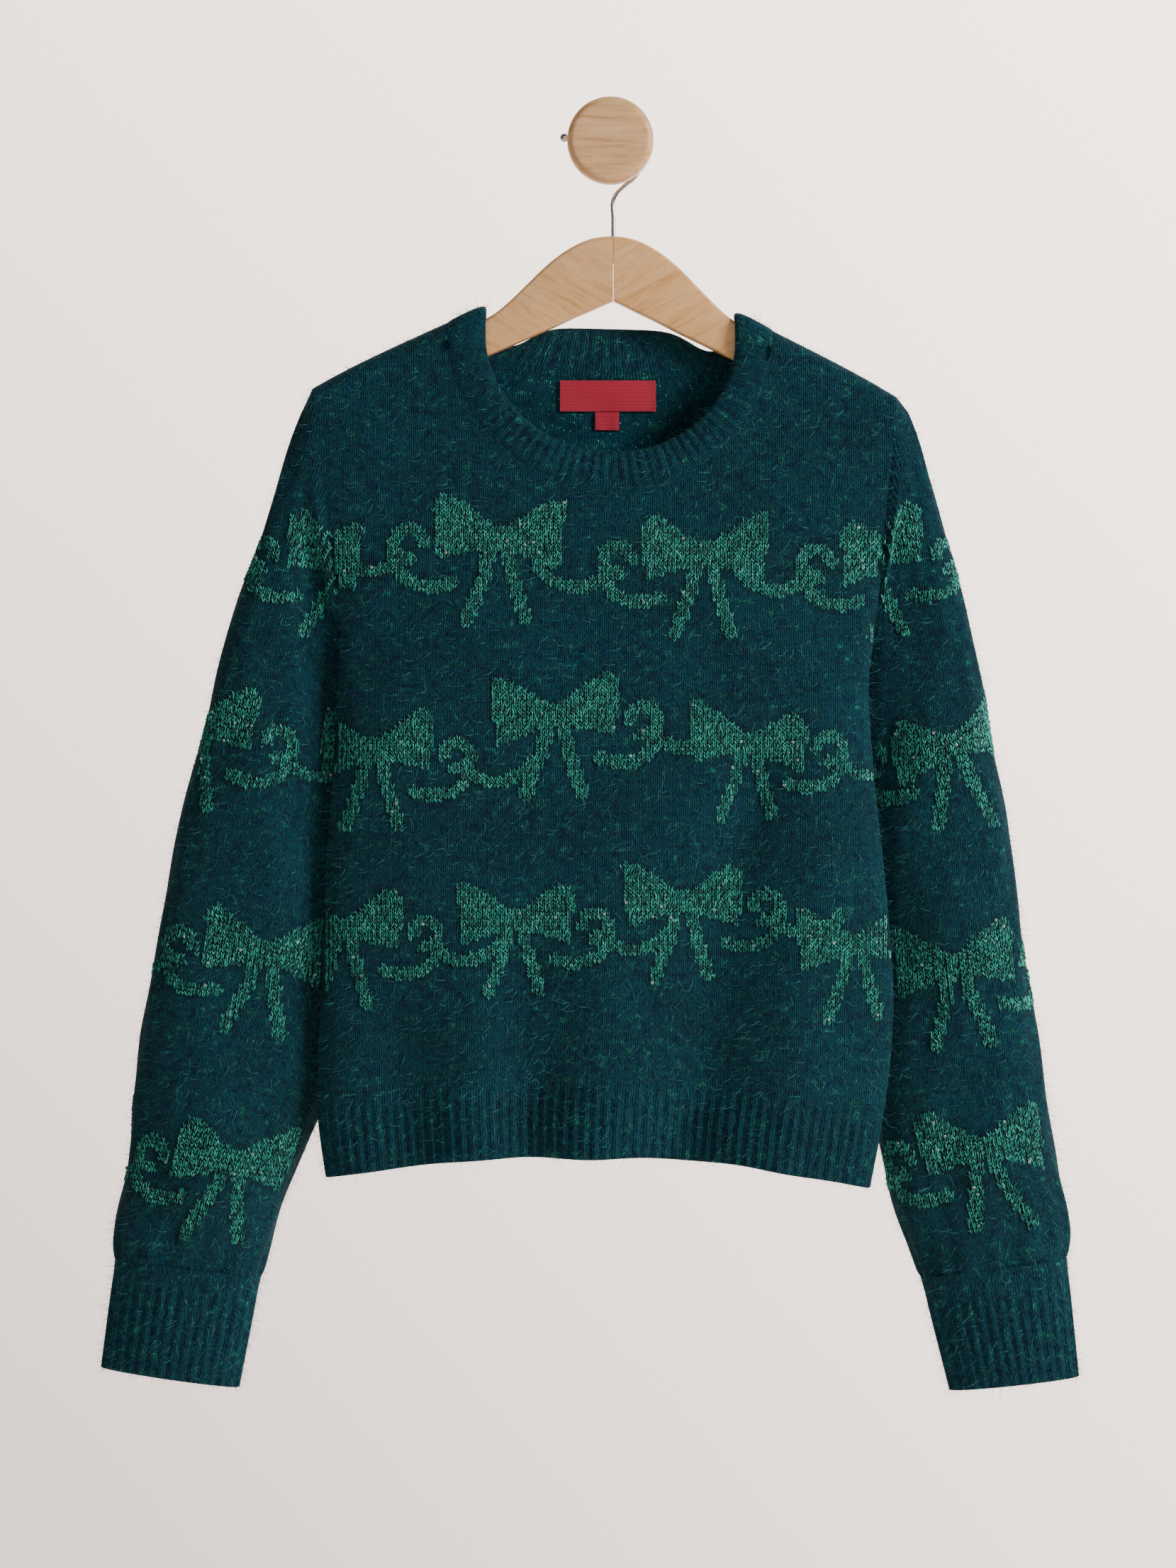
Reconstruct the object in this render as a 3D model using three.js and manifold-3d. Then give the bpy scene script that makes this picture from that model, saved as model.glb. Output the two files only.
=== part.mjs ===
// A knitted sweater hung flat on a two-piece wooden hanger, on a round wall peg.
// Millimetres, +Z up, +X to the right seen from the front, and the front looks along -Y.
// The origin is the centre of the peg's flat back face, on the wall, which is the plane y = 0.

import * as THREE from "three";
import Module from "manifold-3d";

const wasm = await Module();
wasm.setup();

// Cloth
const wall = 3; // brushed knit, one layer
const seamGap = 0.3; // between pieces that are sewn or knitted together
const insideGap = 0.8; // the armhole seam on its inside, where the two walls turn apart
const bandGap = 0.4; // the neck seam, where it turns over the hanger
const bandInsideGap = 2.2; // the neck seam on its inside
const ribHeight = 0.8; // a rib's crest above the cloth's face, and its furrow below it
const ribPitchSteps = 2; // columns of points to one rib: a crest and a furrow

// Body
const tilt = 0.026; // the garment hangs a little lower on the right
const hangerY = -27; // middle plane of the hanger and of the shoulder seams
const sideSeamY = -42; // the side seams hang further forward, in front of the sleeves
const shoulderRound = 11; // radius of the cloth where it folds over the hanger
const seamForwardDrop = 230; // below the shoulder tips, where the side seams are fully forward
const frontDepth = 20; // side seam plane to the front of the chest
const backDepth = 34; // side seam plane to the back
const fullDepthDrop = 290; // below the shoulder line, where the body has its full depth
const frontSquareness = 6; // how flat the front stays before it turns to the side seam
const backSquareness = 2.5;
const armpitZ = -320;
const hemCentreZ = -670;
const hemCornerDrop = 18; // the hem's corners hang lower than its middle
const hemRibDepth = 55;
const hemRibs = 56; // on the front, and as many on the back

// Half widths of the body down its side seams
const bodyEdges = [
  { z: -320, left: -179, right: 176 },
  { z: -360, left: -180, right: 171 },
  { z: -425, left: -184, right: 175 },
  { z: -480, left: -188, right: 181 },
  { z: -554, left: -191, right: 187 },
  { z: -600, left: -193, right: 186 },
  { z: -640, left: -194, right: 181 },
  { z: -694, left: -187, right: 171 },
];

// Shoulders and neck
const shoulderZ = -121.7; // shoulder line where it meets the neckband
const shoulderSlope = 0.478;
const shoulderTip = { left: -198, right: 190 };
const tipDroop = 3.5; // extra fall of the left shoulder's end
const seamHalf = 107; // half width of the neck seam
const openingHalf = 83; // half width of the neck opening
const frontNeck = { sideZ: -126, drop: 103 };
const backNeck = { sideZ: -134, drop: 20 };
const frontOpening = { sideZ: -127, drop: 78 };
const backOpening = { z: -121.5, dipX: 67, dip: 13, dipWidth: 19 };
const overHanger = [12, 4, 0]; // drops below the shoulder line where the neck seam crosses the hanger
const bandProud = 0.6; // the doubled neckband stands above the panels
const bandRibs = { front: 42, over: 4, back: 26 };

// Soft folds that hang from the waist to the hem: place at the hem, lean, top, depth and width.
// A positive depth is a trough, a negative one is a ridge.
const frontFolds = [
  { x: -135, lean: -0.05, topZ: -470, depth: 5, width: 24 },
  { x: -92, lean: 0.02, topZ: -450, depth: -4, width: 22 },
  { x: -55, lean: 0, topZ: -500, depth: 5, width: 20 },
  { x: -8, lean: 0.04, topZ: -400, depth: -5, width: 28 },
  { x: 50, lean: 0.18, topZ: -300, depth: 7, width: 28 },
  { x: 116, lean: 0.12, topZ: -360, depth: -4, width: 24 },
];
const backFolds = [
  { x: -120, lean: 0.1, topZ: -400, depth: 5, width: 26 },
  { x: -60, lean: 0.03, topZ: -470, depth: -3, width: 24 },
  { x: -5, lean: -0.04, topZ: -430, depth: 6, width: 26 },
  { x: 62, lean: 0.05, topZ: -500, depth: 4, width: 22 },
  { x: 125, lean: -0.08, topZ: -380, depth: 5, width: 26 },
];
const foldGrowth = 190; // drop over which a fold reaches its depth

// Panel grid
const neckStep = 12; // degrees of the neck curve to one column
const neckColumns = 7;
const shoulderColumns = 6;
const neckShare = 0.66; // of the half width, taken by the columns under the neck
const lowerRows = 7; // hem seam to armpit
const upperRows = 10; // armpit to shoulder

// Sleeves: x of the outer and inner edges by height
const sleeveOuter = [
  { z: -164, left: -198, right: 190 },
  { z: -178, left: -205, right: 198 },
  { z: -206, left: -215, right: 208 },
  { z: -258, left: -231, right: 222 },
  { z: -305, left: -248, right: 235 },
  { z: -352, left: -261, right: 246 },
  { z: -399, left: -272, right: 253 },
  { z: -446, left: -285, right: 263 },
  { z: -493, left: -294, right: 269 },
  { z: -540, left: -302, right: 275 },
  { z: -587, left: -311, right: 283 },
  { z: -634, left: -316, right: 290 },
  { z: -681, left: -321, right: 297 },
  { z: -720, left: -329, right: 305 },
  { z: -745, left: -328, right: 302 },
];
const sleeveInner = [
  { z: -320, left: -179, right: 176 },
  { z: -328, left: -181, right: 177 },
  { z: -337, left: -180.5, right: 175 },
  { z: -348, left: -178.5, right: 171.5 },
  { z: -362, left: -177.5, right: 169 },
  { z: -385, left: -178, right: 168.5 },
  { z: -425, left: -179, right: 170 },
  { z: -475, left: -181.5, right: 175 },
  { z: -525, left: -185, right: 180 },
  { z: -575, left: -188, right: 182 },
  { z: -620, left: -191, right: 179 },
  { z: -655, left: -199, right: 178 },
  { z: -704, left: -218, right: 188 },
  { z: -752, left: -232, right: 206 },
];

// Each ring of a sleeve: heights and places of its outer and inner edges, and half its thickness
const sleeveRings = [
  { outerZ: -178, innerZ: -327, outerY: -27.5, innerY: -35, half: 12 },
  { outerZ: -198, innerZ: -335, outerY: -28.5, innerY: -30.5, half: 13 },
  { outerZ: -225, innerZ: -345, outerY: -30, innerY: -26.5, half: 14.5 },
  { outerZ: -258, innerZ: -359, outerY: -31.5, innerY: -23.5, half: 16.5 },
  { outerZ: -298, innerZ: -378, outerY: -33, innerY: -22.5, half: 19 },
  { outerZ: -342, innerZ: -404, outerY: -34.5, innerY: -22.5, half: 21.5 },
  { outerZ: -388, innerZ: -436, outerY: -36, innerY: -22.5, half: 23.5 },
  { outerZ: -436, innerZ: -472, outerY: -36, innerY: -23, half: 25 },
  { outerZ: -486, innerZ: -514, outerY: -36, innerY: -23, half: 25.5 },
  { outerZ: -536, innerZ: -558, outerY: -36, innerY: -23, half: 26 },
  { outerZ: -586, innerZ: -606, outerY: -36, innerY: -24, half: 26 },
  { outerZ: -636, innerZ: -655, outerY: -35, innerY: -25, half: 25.5 },
  { outerZ: -686, innerZ: -703, outerY: -35, innerY: -27, half: 25 },
  { outerZ: -722, innerZ: -737, outerY: -35, innerY: -28, half: 24 },
  { outerZ: -739, innerZ: -752, outerY: -34, innerY: -29, half: 17.5 },
];

// Cuffs
const cuffRibs = 30;
const cuffHalf = { top: 16.5, middle: 16, end: 15 };
const cuffEnd = {
  left: { outer: [-338, -811], inner: [-246, -825] },
  right: { outer: [311, -817], inner: [225, -827] },
};
const cuffDrawIn = 1.5; // a cuff is drawn in from the sleeve's edge

// Labels on the inside of the back
const labelMain = { x: -1.5, topZ: -156, width: 64, height: 20.5 };
const labelSize = { x: -2, topZ: -177, width: 16, height: 12 };
const labelThickness = 0.8;
const labelGap = 0.5; // between a label and the cloth behind it

// Hanger
const jointX = 2; // where the two halves meet
const hangerHalfThickness = 6;
const hangerChamfer = 3.5;
// Distance from the joint, and the heights of the arm's upper and lower edges
const hangerArm = [
  { d: 0.15, top: -61, low: -104, half: 6 },
  { d: 7, top: -61.6, low: -107.2, half: 6 },
  { d: 15, top: -63.2, low: -111, half: 6 },
  { d: 24, top: -67, low: -115, half: 6 },
  { d: 34, top: -73.2, low: -119.8, half: 6 },
  { d: 45, top: -82.2, low: -125, half: 6 },
  { d: 58, top: -95.2, low: -131, half: 6 },
  { d: 70, top: -107, low: -136.6, half: 6 },
  { d: 80, top: -115.2, low: -141.2, half: 6 },
  { d: 90, top: -121.2, low: -145.6, half: 6 },
  { d: 105, top: -126.9, low: -152, half: 6 },
  { d: 140, top: -143.7, low: -166, half: 6 },
  { d: 172, top: -159, low: -177.5, half: 6 },
  { d: 177, top: -162.4, low: -177.5, half: 5.4 },
  { d: 180, top: -166, low: -175, half: 4 },
];

// Hook
const wireRadius = 1.4;
const stemRadius = 11;
const loopRadius = 21;
const shankDepth = 18; // length of the wire inside the wood
const shankTopZ = -36;
const loopAngles = { start: -60, end: 150, step: 15 }; // degrees round the loop, from +X
const flareAngles = [-60, -90, -120]; // degrees round the small turn before the tip
const flareRadius = 4;
const flareRun = 8;
const hookBallRadius = 2.9;

// Peg
const stemLength = 38;
const knobRadius = 28.5;
const knobThickness = 18;
const knobEdge = 5; // radius of the knob's edge

const knitColour = 0x0f3a41;
const woodColour = 0xc8a37f;

// Small helpers

function smooth(t) {
  const c = Math.min(Math.max(t, 0), 1);
  return c * c * (3 - 2 * c);
}

function mix(a, b, t) {
  return a + (b - a) * t;
}

// A smooth curve through a table's rows, read at a value of one column
function along(table, at, column, value) {
  const last = table.length - 1;
  let i = 0;
  while (i < last - 1 && (value - table[i + 1][at]) * (table[last][at] - table[0][at]) > 0) {
    i += 1;
  }
  const slopeAt = (k) => {
    const a = table[Math.max(k - 1, 0)];
    const b = table[Math.min(k + 1, last)];
    return (b[column] - a[column]) / (b[at] - a[at]);
  };
  const span = table[i + 1][at] - table[i][at];
  const t = Math.min(Math.max((value - table[i][at]) / span, 0), 1);
  const h1 = t * t * (3 - 2 * t);
  const h2 = t * (1 - t) * (1 - t);
  const h3 = t * t * (t - 1);
  return (
    mix(table[i][column], table[i + 1][column], h1) +
    span * (h2 * slopeAt(i) + h3 * slopeAt(i + 1))
  );
}

function pointAlong(points, t) {
  const place = Math.min(Math.max(t, 0), 1) * (points.length - 1);
  const i = Math.min(Math.floor(place), points.length - 2);
  return points[i].clone().lerp(points[i + 1], place - i);
}

// Even steps of length along an open or closed run of points
function evenly(points, count, closed) {
  const run = closed ? [...points, points[0]] : points;
  const lengths = [0];
  for (let i = 1; i < run.length; i += 1) {
    lengths.push(lengths[i - 1] + run[i].distanceTo(run[i - 1]));
  }
  const total = lengths[lengths.length - 1];
  const result = [];
  const steps = closed ? count : count + 1;
  let k = 0;
  for (let i = 0; i < steps; i += 1) {
    const target = (total * i) / count;
    while (k < run.length - 2 && lengths[k + 1] < target) {
      k += 1;
    }
    const part = (target - lengths[k]) / (lengths[k + 1] - lengths[k]);
    result.push(run[k].clone().lerp(run[k + 1], part));
  }
  return result;
}

// A wall between an outer and an inner grid of points. The grids are rows of points. Rows of a
// closed wall run all the way round; the two grids may differ in their numbers of points.
function wallGeometry(outer, inner, closed) {
  const points = [];
  const numbers = new Map();
  const triangles = [];
  const numberOf = (p) => {
    if (!numbers.has(p)) {
      numbers.set(p, points.length);
      points.push(p);
    }
    return numbers.get(p);
  };
  const triangle = (a, b, c) => {
    triangles.push(numberOf(a), numberOf(b), numberOf(c));
  };
  const strip = (a, b, turned) => {
    let i = 0;
    let j = 0;
    while (i < a.length - 1 || j < b.length - 1) {
      const stepA = (i + 1) / (a.length - 1);
      const stepB = (j + 1) / (b.length - 1);
      if (j === b.length - 1 || (i < a.length - 1 && stepA <= stepB + 1e-9)) {
        turned ? triangle(a[i + 1], a[i], b[j]) : triangle(a[i], a[i + 1], b[j]);
        i += 1;
      } else {
        turned ? triangle(b[j], b[j + 1], a[i]) : triangle(b[j + 1], b[j], a[i]);
        j += 1;
      }
    }
  };
  const ring = (row) => (closed ? [...row, row[0]] : row);
  for (let r = 0; r < outer.length - 1; r += 1) {
    strip(ring(outer[r]), ring(outer[r + 1]), false);
  }
  for (let r = 0; r < inner.length - 1; r += 1) {
    strip(ring(inner[r]), ring(inner[r + 1]), true);
  }
  strip(ring(outer[0]), ring(inner[0]), true);
  strip(ring(outer[outer.length - 1]), ring(inner[inner.length - 1]), false);
  if (!closed) {
    const column = (rows, end) => rows.map((row) => row[end ? row.length - 1 : 0]);
    strip(column(outer, false), column(inner, false), false);
    strip(column(outer, true), column(inner, true), true);
  }
  return closedGeometry(points, triangles);
}

// A solid through rings of points, with a flat cap at each end
function loftGeometry(rings) {
  const points = rings.flat();
  const n = rings[0].length;
  const triangles = [];
  for (let r = 0; r < rings.length - 1; r += 1) {
    for (let i = 0; i < n; i += 1) {
      const a = r * n + i;
      const b = r * n + ((i + 1) % n);
      triangles.push(a, b, a + n, b, b + n, a + n);
    }
  }
  const end = (rings.length - 1) * n;
  for (let i = 1; i < n - 1; i += 1) {
    triangles.push(0, i + 1, i);
    triangles.push(end, end + i, end + i + 1);
  }
  return closedGeometry(points, triangles);
}

// Faces point outwards when the volume they enclose is positive
function closedGeometry(points, triangles) {
  let volume = 0;
  const cross = new THREE.Vector3();
  for (let i = 0; i < triangles.length; i += 3) {
    const [a, b, c] = [0, 1, 2].map((k) => points[triangles[i + k]]);
    volume += cross.crossVectors(b, c).dot(a);
  }
  if (volume < 0) {
    for (let i = 0; i < triangles.length; i += 3) {
      [triangles[i + 1], triangles[i + 2]] = [triangles[i + 2], triangles[i + 1]];
    }
  }
  const geometry = new THREE.BufferGeometry();
  const positions = points.flatMap((p) => [p.x, p.y, p.z]);
  geometry.setAttribute("position", new THREE.Float32BufferAttribute(positions, 3));
  geometry.setIndex(triangles);
  geometry.computeVertexNormals();
  return geometry;
}

// Unit normals of a grid, from its neighbouring points
function gridNormals(rows, closed, sign) {
  const last = rows.length - 1;
  return rows.map((row, r) =>
    row.map((point, c) => {
      const count = row.length;
      const left = closed ? row[(c - 1 + count) % count] : row[Math.max(c - 1, 0)];
      const right = closed ? row[(c + 1) % count] : row[Math.min(c + 1, count - 1)];
      const below = rows[Math.max(r - 1, 0)][c];
      const above = rows[Math.min(r + 1, last)][c];
      const across = right.clone().sub(left);
      const up = above.clone().sub(below);
      return across.cross(up).normalize().multiplyScalar(sign);
    })
  );
}

// Manifold joins and cuts

function toManifold(geometry) {
  const source = geometry.index ? geometry.toNonIndexed() : geometry;
  const position = source.getAttribute("position");
  const numbers = new Map();
  const vertProperties = [];
  const triVerts = [];
  for (let i = 0; i < position.count; i += 1) {
    const xyz = [position.getX(i), position.getY(i), position.getZ(i)];
    const key = xyz.map((v) => Math.round(v * 1e4)).join();
    if (!numbers.has(key)) {
      numbers.set(key, vertProperties.length / 3);
      vertProperties.push(...xyz);
    }
    triVerts.push(numbers.get(key));
  }
  const whole = [];
  for (let i = 0; i < triVerts.length; i += 3) {
    const [a, b, c] = triVerts.slice(i, i + 3);
    if (a !== b && b !== c && c !== a) {
      whole.push(a, b, c);
    }
  }
  return new wasm.Manifold(
    new wasm.Mesh({
      numProp: 3,
      vertProperties: new Float32Array(vertProperties),
      triVerts: new Uint32Array(whole),
    })
  );
}

function fromManifold(solid) {
  const mesh = solid.getMesh();
  const geometry = new THREE.BufferGeometry();
  geometry.setAttribute("position", new THREE.BufferAttribute(mesh.vertProperties, 3));
  geometry.setIndex(new THREE.BufferAttribute(mesh.triVerts, 1));
  geometry.computeVertexNormals();
  return geometry;
}

// The body's surface. Side -1 is the front and +1 is the back.

function shoulderHeight(x) {
  const reach = Math.max(Math.abs(x), openingHalf) - seamHalf;
  const droop = x < 0 ? tipDroop * Math.pow(Math.max(reach, 0) / (-shoulderTip.left - seamHalf), 4) : 0;
  return shoulderZ - shoulderSlope * reach - droop - tilt * x;
}

function sideEdge(z, isLeft) {
  const column = isLeft ? "left" : "right";
  if (z <= armpitZ) {
    return along(bodyEdges, "z", column, z);
  }
  const tip = shoulderTip[column];
  const share = Math.min((z - armpitZ) / (shoulderHeight(tip) - armpitZ), 1);
  return mix(bodyEdges[0][column], tip, share);
}

function foldOffset(side, x, z) {
  const folds = side < 0 ? frontFolds : backFolds;
  let offset = 0;
  for (const fold of folds) {
    const middle = fold.x + fold.lean * (z - hemCentreZ);
    const bell = Math.exp(-Math.pow((x - middle) / fold.width, 2));
    offset += -side * fold.depth * bell * smooth((fold.topZ - z) / foldGrowth);
  }
  return offset;
}

function bodyPoint(side, x, z) {
  const below = Math.max(shoulderHeight(x) - z, 0);
  const full = side < 0 ? frontDepth : backDepth;
  const squareness = side < 0 ? frontSquareness : backSquareness;
  const r = shoulderRound;
  const depth =
    below < r
      ? Math.sqrt(r * r - (r - below) * (r - below))
      : r + (full - r) * smooth((below - r) / (fullDepthDrop - r));
  const tipZ = shoulderHeight(x < 0 ? shoulderTip.left : shoulderTip.right);
  const closing = Math.min(Math.max((tipZ - z) / (tipZ - armpitZ), 0), 1);
  const u = Math.min(Math.abs(x / sideEdge(z, x < 0)), 1);
  const turn = Math.sqrt(Math.max(1 - closing * Math.pow(u, squareness), 0));
  const seamY = mix(hangerY, sideSeamY, smooth((tipZ - z) / seamForwardDrop));
  const y = seamY + side * (depth * turn + seamGap / 2) + foldOffset(side, x, z) * turn * turn;
  return new THREE.Vector3(x, y, z);
}

// The outward direction where the surface isn't near a side seam
function bodyNormal(side, x, z) {
  const step = 0.25;
  const inward = x - Math.sign(x || 1) * step;
  const y = bodyPoint(side, x, z).y;
  const slopeX = (y - bodyPoint(side, inward, z).y) / (x - inward);
  const slopeZ = (y - bodyPoint(side, x, z - step).y) / step;
  return new THREE.Vector3(-slopeX, 1, -slopeZ).multiplyScalar(side).normalize();
}

function hemBottom(u) {
  return hemCentreZ - hemCornerDrop * u * u - tilt * 135 * u;
}

// Columns of a panel: the share of the half width below the armpit, and the point at the top
function panelColumns(neck) {
  const halfColumns = neckColumns + overHanger.length + shoulderColumns;
  const columns = [];
  for (let j = -halfColumns; j <= halfColumns; j += 1) {
    const sign = Math.sign(j);
    const k = Math.abs(j);
    const neckEnd = neckColumns + overHanger.length;
    let share = (neckShare * k) / neckEnd;
    let x;
    let z;
    if (k <= neckColumns) {
      const angle = (k * neckStep * Math.PI) / 180;
      x = sign * seamHalf * Math.sin(angle);
      z = neck.sideZ - neck.drop * Math.cos(angle) - tilt * x;
    } else if (k <= neckEnd) {
      x = sign * seamHalf;
      z = shoulderHeight(x) - overHanger[k - neckColumns - 1];
    } else {
      const f = (k - neckEnd) / shoulderColumns;
      const tip = sign < 0 ? shoulderTip.left : shoulderTip.right;
      share = 1 - (1 - neckShare) * (1 - f) * (1 - f);
      x = mix(sign * seamHalf, tip, f);
      z = shoulderHeight(x);
    }
    columns.push({ u: sign * share, x, z, isNeck: k <= neckEnd });
  }
  return columns;
}

function bodyX(u, z) {
  return Math.abs(u) * sideEdge(z, u < 0) || 0;
}

function panelGrid(side) {
  const columns = panelColumns(side < 0 ? frontNeck : backNeck);
  const outer = [];
  for (let r = 0; r <= lowerRows; r += 1) {
    outer.push(
      columns.map(({ u }) => {
        const z = mix(hemBottom(u) + hemRibDepth + seamGap, armpitZ, r / lowerRows);
        return bodyPoint(side, bodyX(u, z), z);
      })
    );
  }
  for (let r = 1; r <= upperRows; r += 1) {
    const share = (1 - Math.cos((Math.PI * r) / upperRows)) / 2;
    outer.push(
      columns.map((column) => {
        const x = mix(bodyX(column.u, armpitZ), column.x, share);
        const z = mix(armpitZ, column.z, share);
        return bodyPoint(side, x, z);
      })
    );
  }
  const normals = gridNormals(outer, false, -side);
  const top = outer.length - 1;
  const inner = outer.map((row, r) =>
    row.map((point, c) => {
      const normal = r > lowerRows ? bodyNormal(side, point.x, point.z) : normals[r][c];
      const onSideSeam = (c === 0 || c === row.length - 1) && r <= lowerRows;
      const onShoulder = r === top && point.z > shoulderHeight(point.x) - 0.01;
      if (onSideSeam || onShoulder) {
        normal.y = 0;
      }
      if (r === 0) {
        normal.z = 0;
      }
      normal.normalize();
      return point.clone().addScaledVector(normal, -wall);
    })
  );
  return { columns, outer, inner };
}

const frontGrid = panelGrid(-1);
const backGrid = panelGrid(1);

function panel(grid) {
  return wallGeometry(grid.outer, grid.inner, false);
}

// A ribbed edge: crests and furrows on the outside, plain inside
function ribbedRows(rows, normals, depths) {
  return rows.map((row, r) =>
    row.map((point, c) => {
      const lift = c % ribPitchSteps === 0 ? -ribHeight : ribHeight;
      return point.clone().addScaledVector(normals[r][c], lift * depths[r]);
    })
  );
}

function plainRows(rows, normals, every, picked) {
  return picked.map((r) =>
    rows[r]
      .map((point, c) => point.clone().addScaledVector(normals[r][c], -wall))
      .filter((point, c) => c % every === 0)
  );
}

function hemRib(side) {
  const drops = [0, 0.45, 1];
  const count = hemRibs * ribPitchSteps;
  const fine = 300;
  const rows = drops.map((drop) => {
    const line = [];
    for (let i = 0; i <= fine; i += 1) {
      const angle = ((i / fine) * 2 - 1) * (Math.PI / 2);
      const u = Math.sin(angle);
      const z = hemBottom(u) + hemRibDepth * (1 - drop);
      line.push(bodyPoint(side, bodyX(u, z), z));
    }
    return evenly(line, count, false);
  });
  const normals = gridNormals(rows, false, side);
  normals.forEach((row) => {
    [row[0], row[row.length - 1]].forEach((normal) => {
      normal.y = 0;
      normal.normalize();
    });
  });
  normals[0].forEach((normal) => {
    normal.z = 0;
    normal.normalize();
  });
  const outer = ribbedRows(rows, normals, [1, 1, 0.8]);
  return wallGeometry(outer, plainRows(rows, normals, 4, [0, 2]), false);
}

// Sleeves

function ringPoint(outerEdge, innerEdge, half, angle) {
  const middle = outerEdge.clone().add(innerEdge).multiplyScalar(0.5);
  const reach = outerEdge.clone().sub(innerEdge).multiplyScalar(0.5);
  const across = reach.clone().normalize();
  const forward = new THREE.Vector3(0, -1, 0);
  forward.addScaledVector(across, -forward.dot(across)).normalize();
  return middle.addScaledVector(reach, Math.cos(angle)).addScaledVector(forward, half * Math.sin(angle));
}

function ringEdges(ring, column) {
  return {
    outer: new THREE.Vector3(along(sleeveOuter, "z", column, ring.outerZ), ring.outerY, ring.outerZ),
    inner: new THREE.Vector3(along(sleeveInner, "z", column, ring.innerZ), ring.innerY, ring.innerZ),
  };
}

// The armhole's loop on the panels: from the shoulder tip down the front, and up the back
function armholeLoop(part, isLeft) {
  const pick = (grid, r) => {
    const row = grid[part][r];
    return row[isLeft ? 0 : row.length - 1];
  };
  const gap = part === "outer" ? seamGap : insideGap;
  const away = new THREE.Vector3(isLeft ? -gap : gap, 0, 0);
  const between = (r) => pick(frontGrid, r).clone().add(pick(backGrid, r)).multiplyScalar(0.5);
  const top = lowerRows + upperRows;
  const loop = [between(top)];
  for (let r = top - 1; r > lowerRows; r -= 1) {
    loop.push(pick(frontGrid, r).clone());
  }
  loop.push(between(lowerRows));
  for (let r = lowerRows + 1; r < top; r += 1) {
    loop.push(pick(backGrid, r).clone());
  }
  return loop.map((point) => point.add(away));
}

function sleeveGrid(isLeft) {
  const column = isLeft ? "left" : "right";
  const count = upperRows * 2;
  const outer = [armholeLoop("outer", isLeft)];
  for (const ring of sleeveRings) {
    const edges = ringEdges(ring, column);
    const row = [];
    for (let i = 0; i < count; i += 1) {
      row.push(ringPoint(edges.outer, edges.inner, ring.half, (2 * Math.PI * i) / count));
    }
    outer.push(row);
  }
  const normals = gridNormals(outer, true, isLeft ? -1 : 1);
  const last = outer.length - 1;
  const end = ringEdges(sleeveRings[last - 1], column);
  const endNormal = ringAxis(end);
  normals[last].forEach((normal) => {
    normal.addScaledVector(endNormal, -normal.dot(endNormal)).normalize();
  });
  const seam = armholeLoop("inner", isLeft);
  const inner = outer.map((row, r) =>
    row.map((point, i) => {
      const nearArmpit = Math.abs(i - upperRows) <= 1;
      if (r === 0 && !nearArmpit) {
        return seam[i];
      }
      return point.clone().addScaledVector(normals[r][i], -wall);
    })
  );
  return { outer, inner };
}

// The direction down a sleeve, square to a ring
function ringAxis(edges) {
  const reach = edges.outer.clone().sub(edges.inner).normalize();
  const forward = new THREE.Vector3(0, -1, 0);
  forward.addScaledVector(reach, -forward.dot(reach)).normalize();
  const axis = reach.cross(forward).normalize();
  return axis.z > 0 ? axis.negate() : axis;
}

function sleeve(isLeft) {
  const grid = sleeveGrid(isLeft);
  return wallGeometry(grid.outer, grid.inner, true);
}

function cuff(isLeft) {
  const column = isLeft ? "left" : "right";
  const top = ringEdges(sleeveRings[sleeveRings.length - 1], column);
  const axis = ringAxis(top);
  const out = top.outer.clone().sub(top.inner).normalize();
  top.outer.addScaledVector(axis, seamGap).addScaledVector(out, -cuffDrawIn);
  top.inner.addScaledVector(axis, seamGap).addScaledVector(out, cuffDrawIn);
  const shape = cuffEnd[column];
  const end = {
    outer: new THREE.Vector3(shape.outer[0], top.outer.y, shape.outer[1]),
    inner: new THREE.Vector3(shape.inner[0], top.inner.y, shape.inner[1]),
  };
  const middle = {
    outer: top.outer.clone().lerp(end.outer, 0.5),
    inner: top.inner.clone().lerp(end.inner, 0.5),
  };
  const rings = [
    { edges: top, half: cuffHalf.top },
    { edges: middle, half: cuffHalf.middle },
    { edges: end, half: cuffHalf.end },
  ];
  const fine = 240;
  const rows = rings.map(({ edges, half }) => {
    const line = [];
    for (let i = 0; i < fine; i += 1) {
      line.push(ringPoint(edges.outer, edges.inner, half, (2 * Math.PI * i) / fine));
    }
    return evenly(line, cuffRibs * ribPitchSteps, true);
  });
  const normals = gridNormals(rows, true, isLeft ? -1 : 1);
  normals[0].forEach((normal) => {
    normal.addScaledVector(axis, -normal.dot(axis)).normalize();
  });
  const outer = ribbedRows(rows, normals, [1, 1, 0.8]);
  return wallGeometry(outer, plainRows(rows, normals, 4, [0, 2]), true);
}

// Neckband: a closed loop of stations from the seam to the opening

function openingPoint(side, column) {
  const sign = Math.sign(column.x);
  const angle = Math.asin(Math.min(Math.abs(column.x) / seamHalf, 1));
  if (column.over !== null) {
    const x = sign * openingHalf;
    return bodyPoint(side, x, shoulderHeight(x) - column.over);
  }
  const x = sign * openingHalf * Math.sin(angle);
  if (side < 0) {
    const z = frontOpening.sideZ - frontOpening.drop * Math.cos(angle) - tilt * x;
    return bodyPoint(side, x, z);
  }
  const { z, dipX, dip, dipWidth } = backOpening;
  const low = z - dip * Math.exp(-Math.pow((Math.abs(x) - dipX) / dipWidth, 2));
  return bodyPoint(side, x, low - tilt * x);
}

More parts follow.
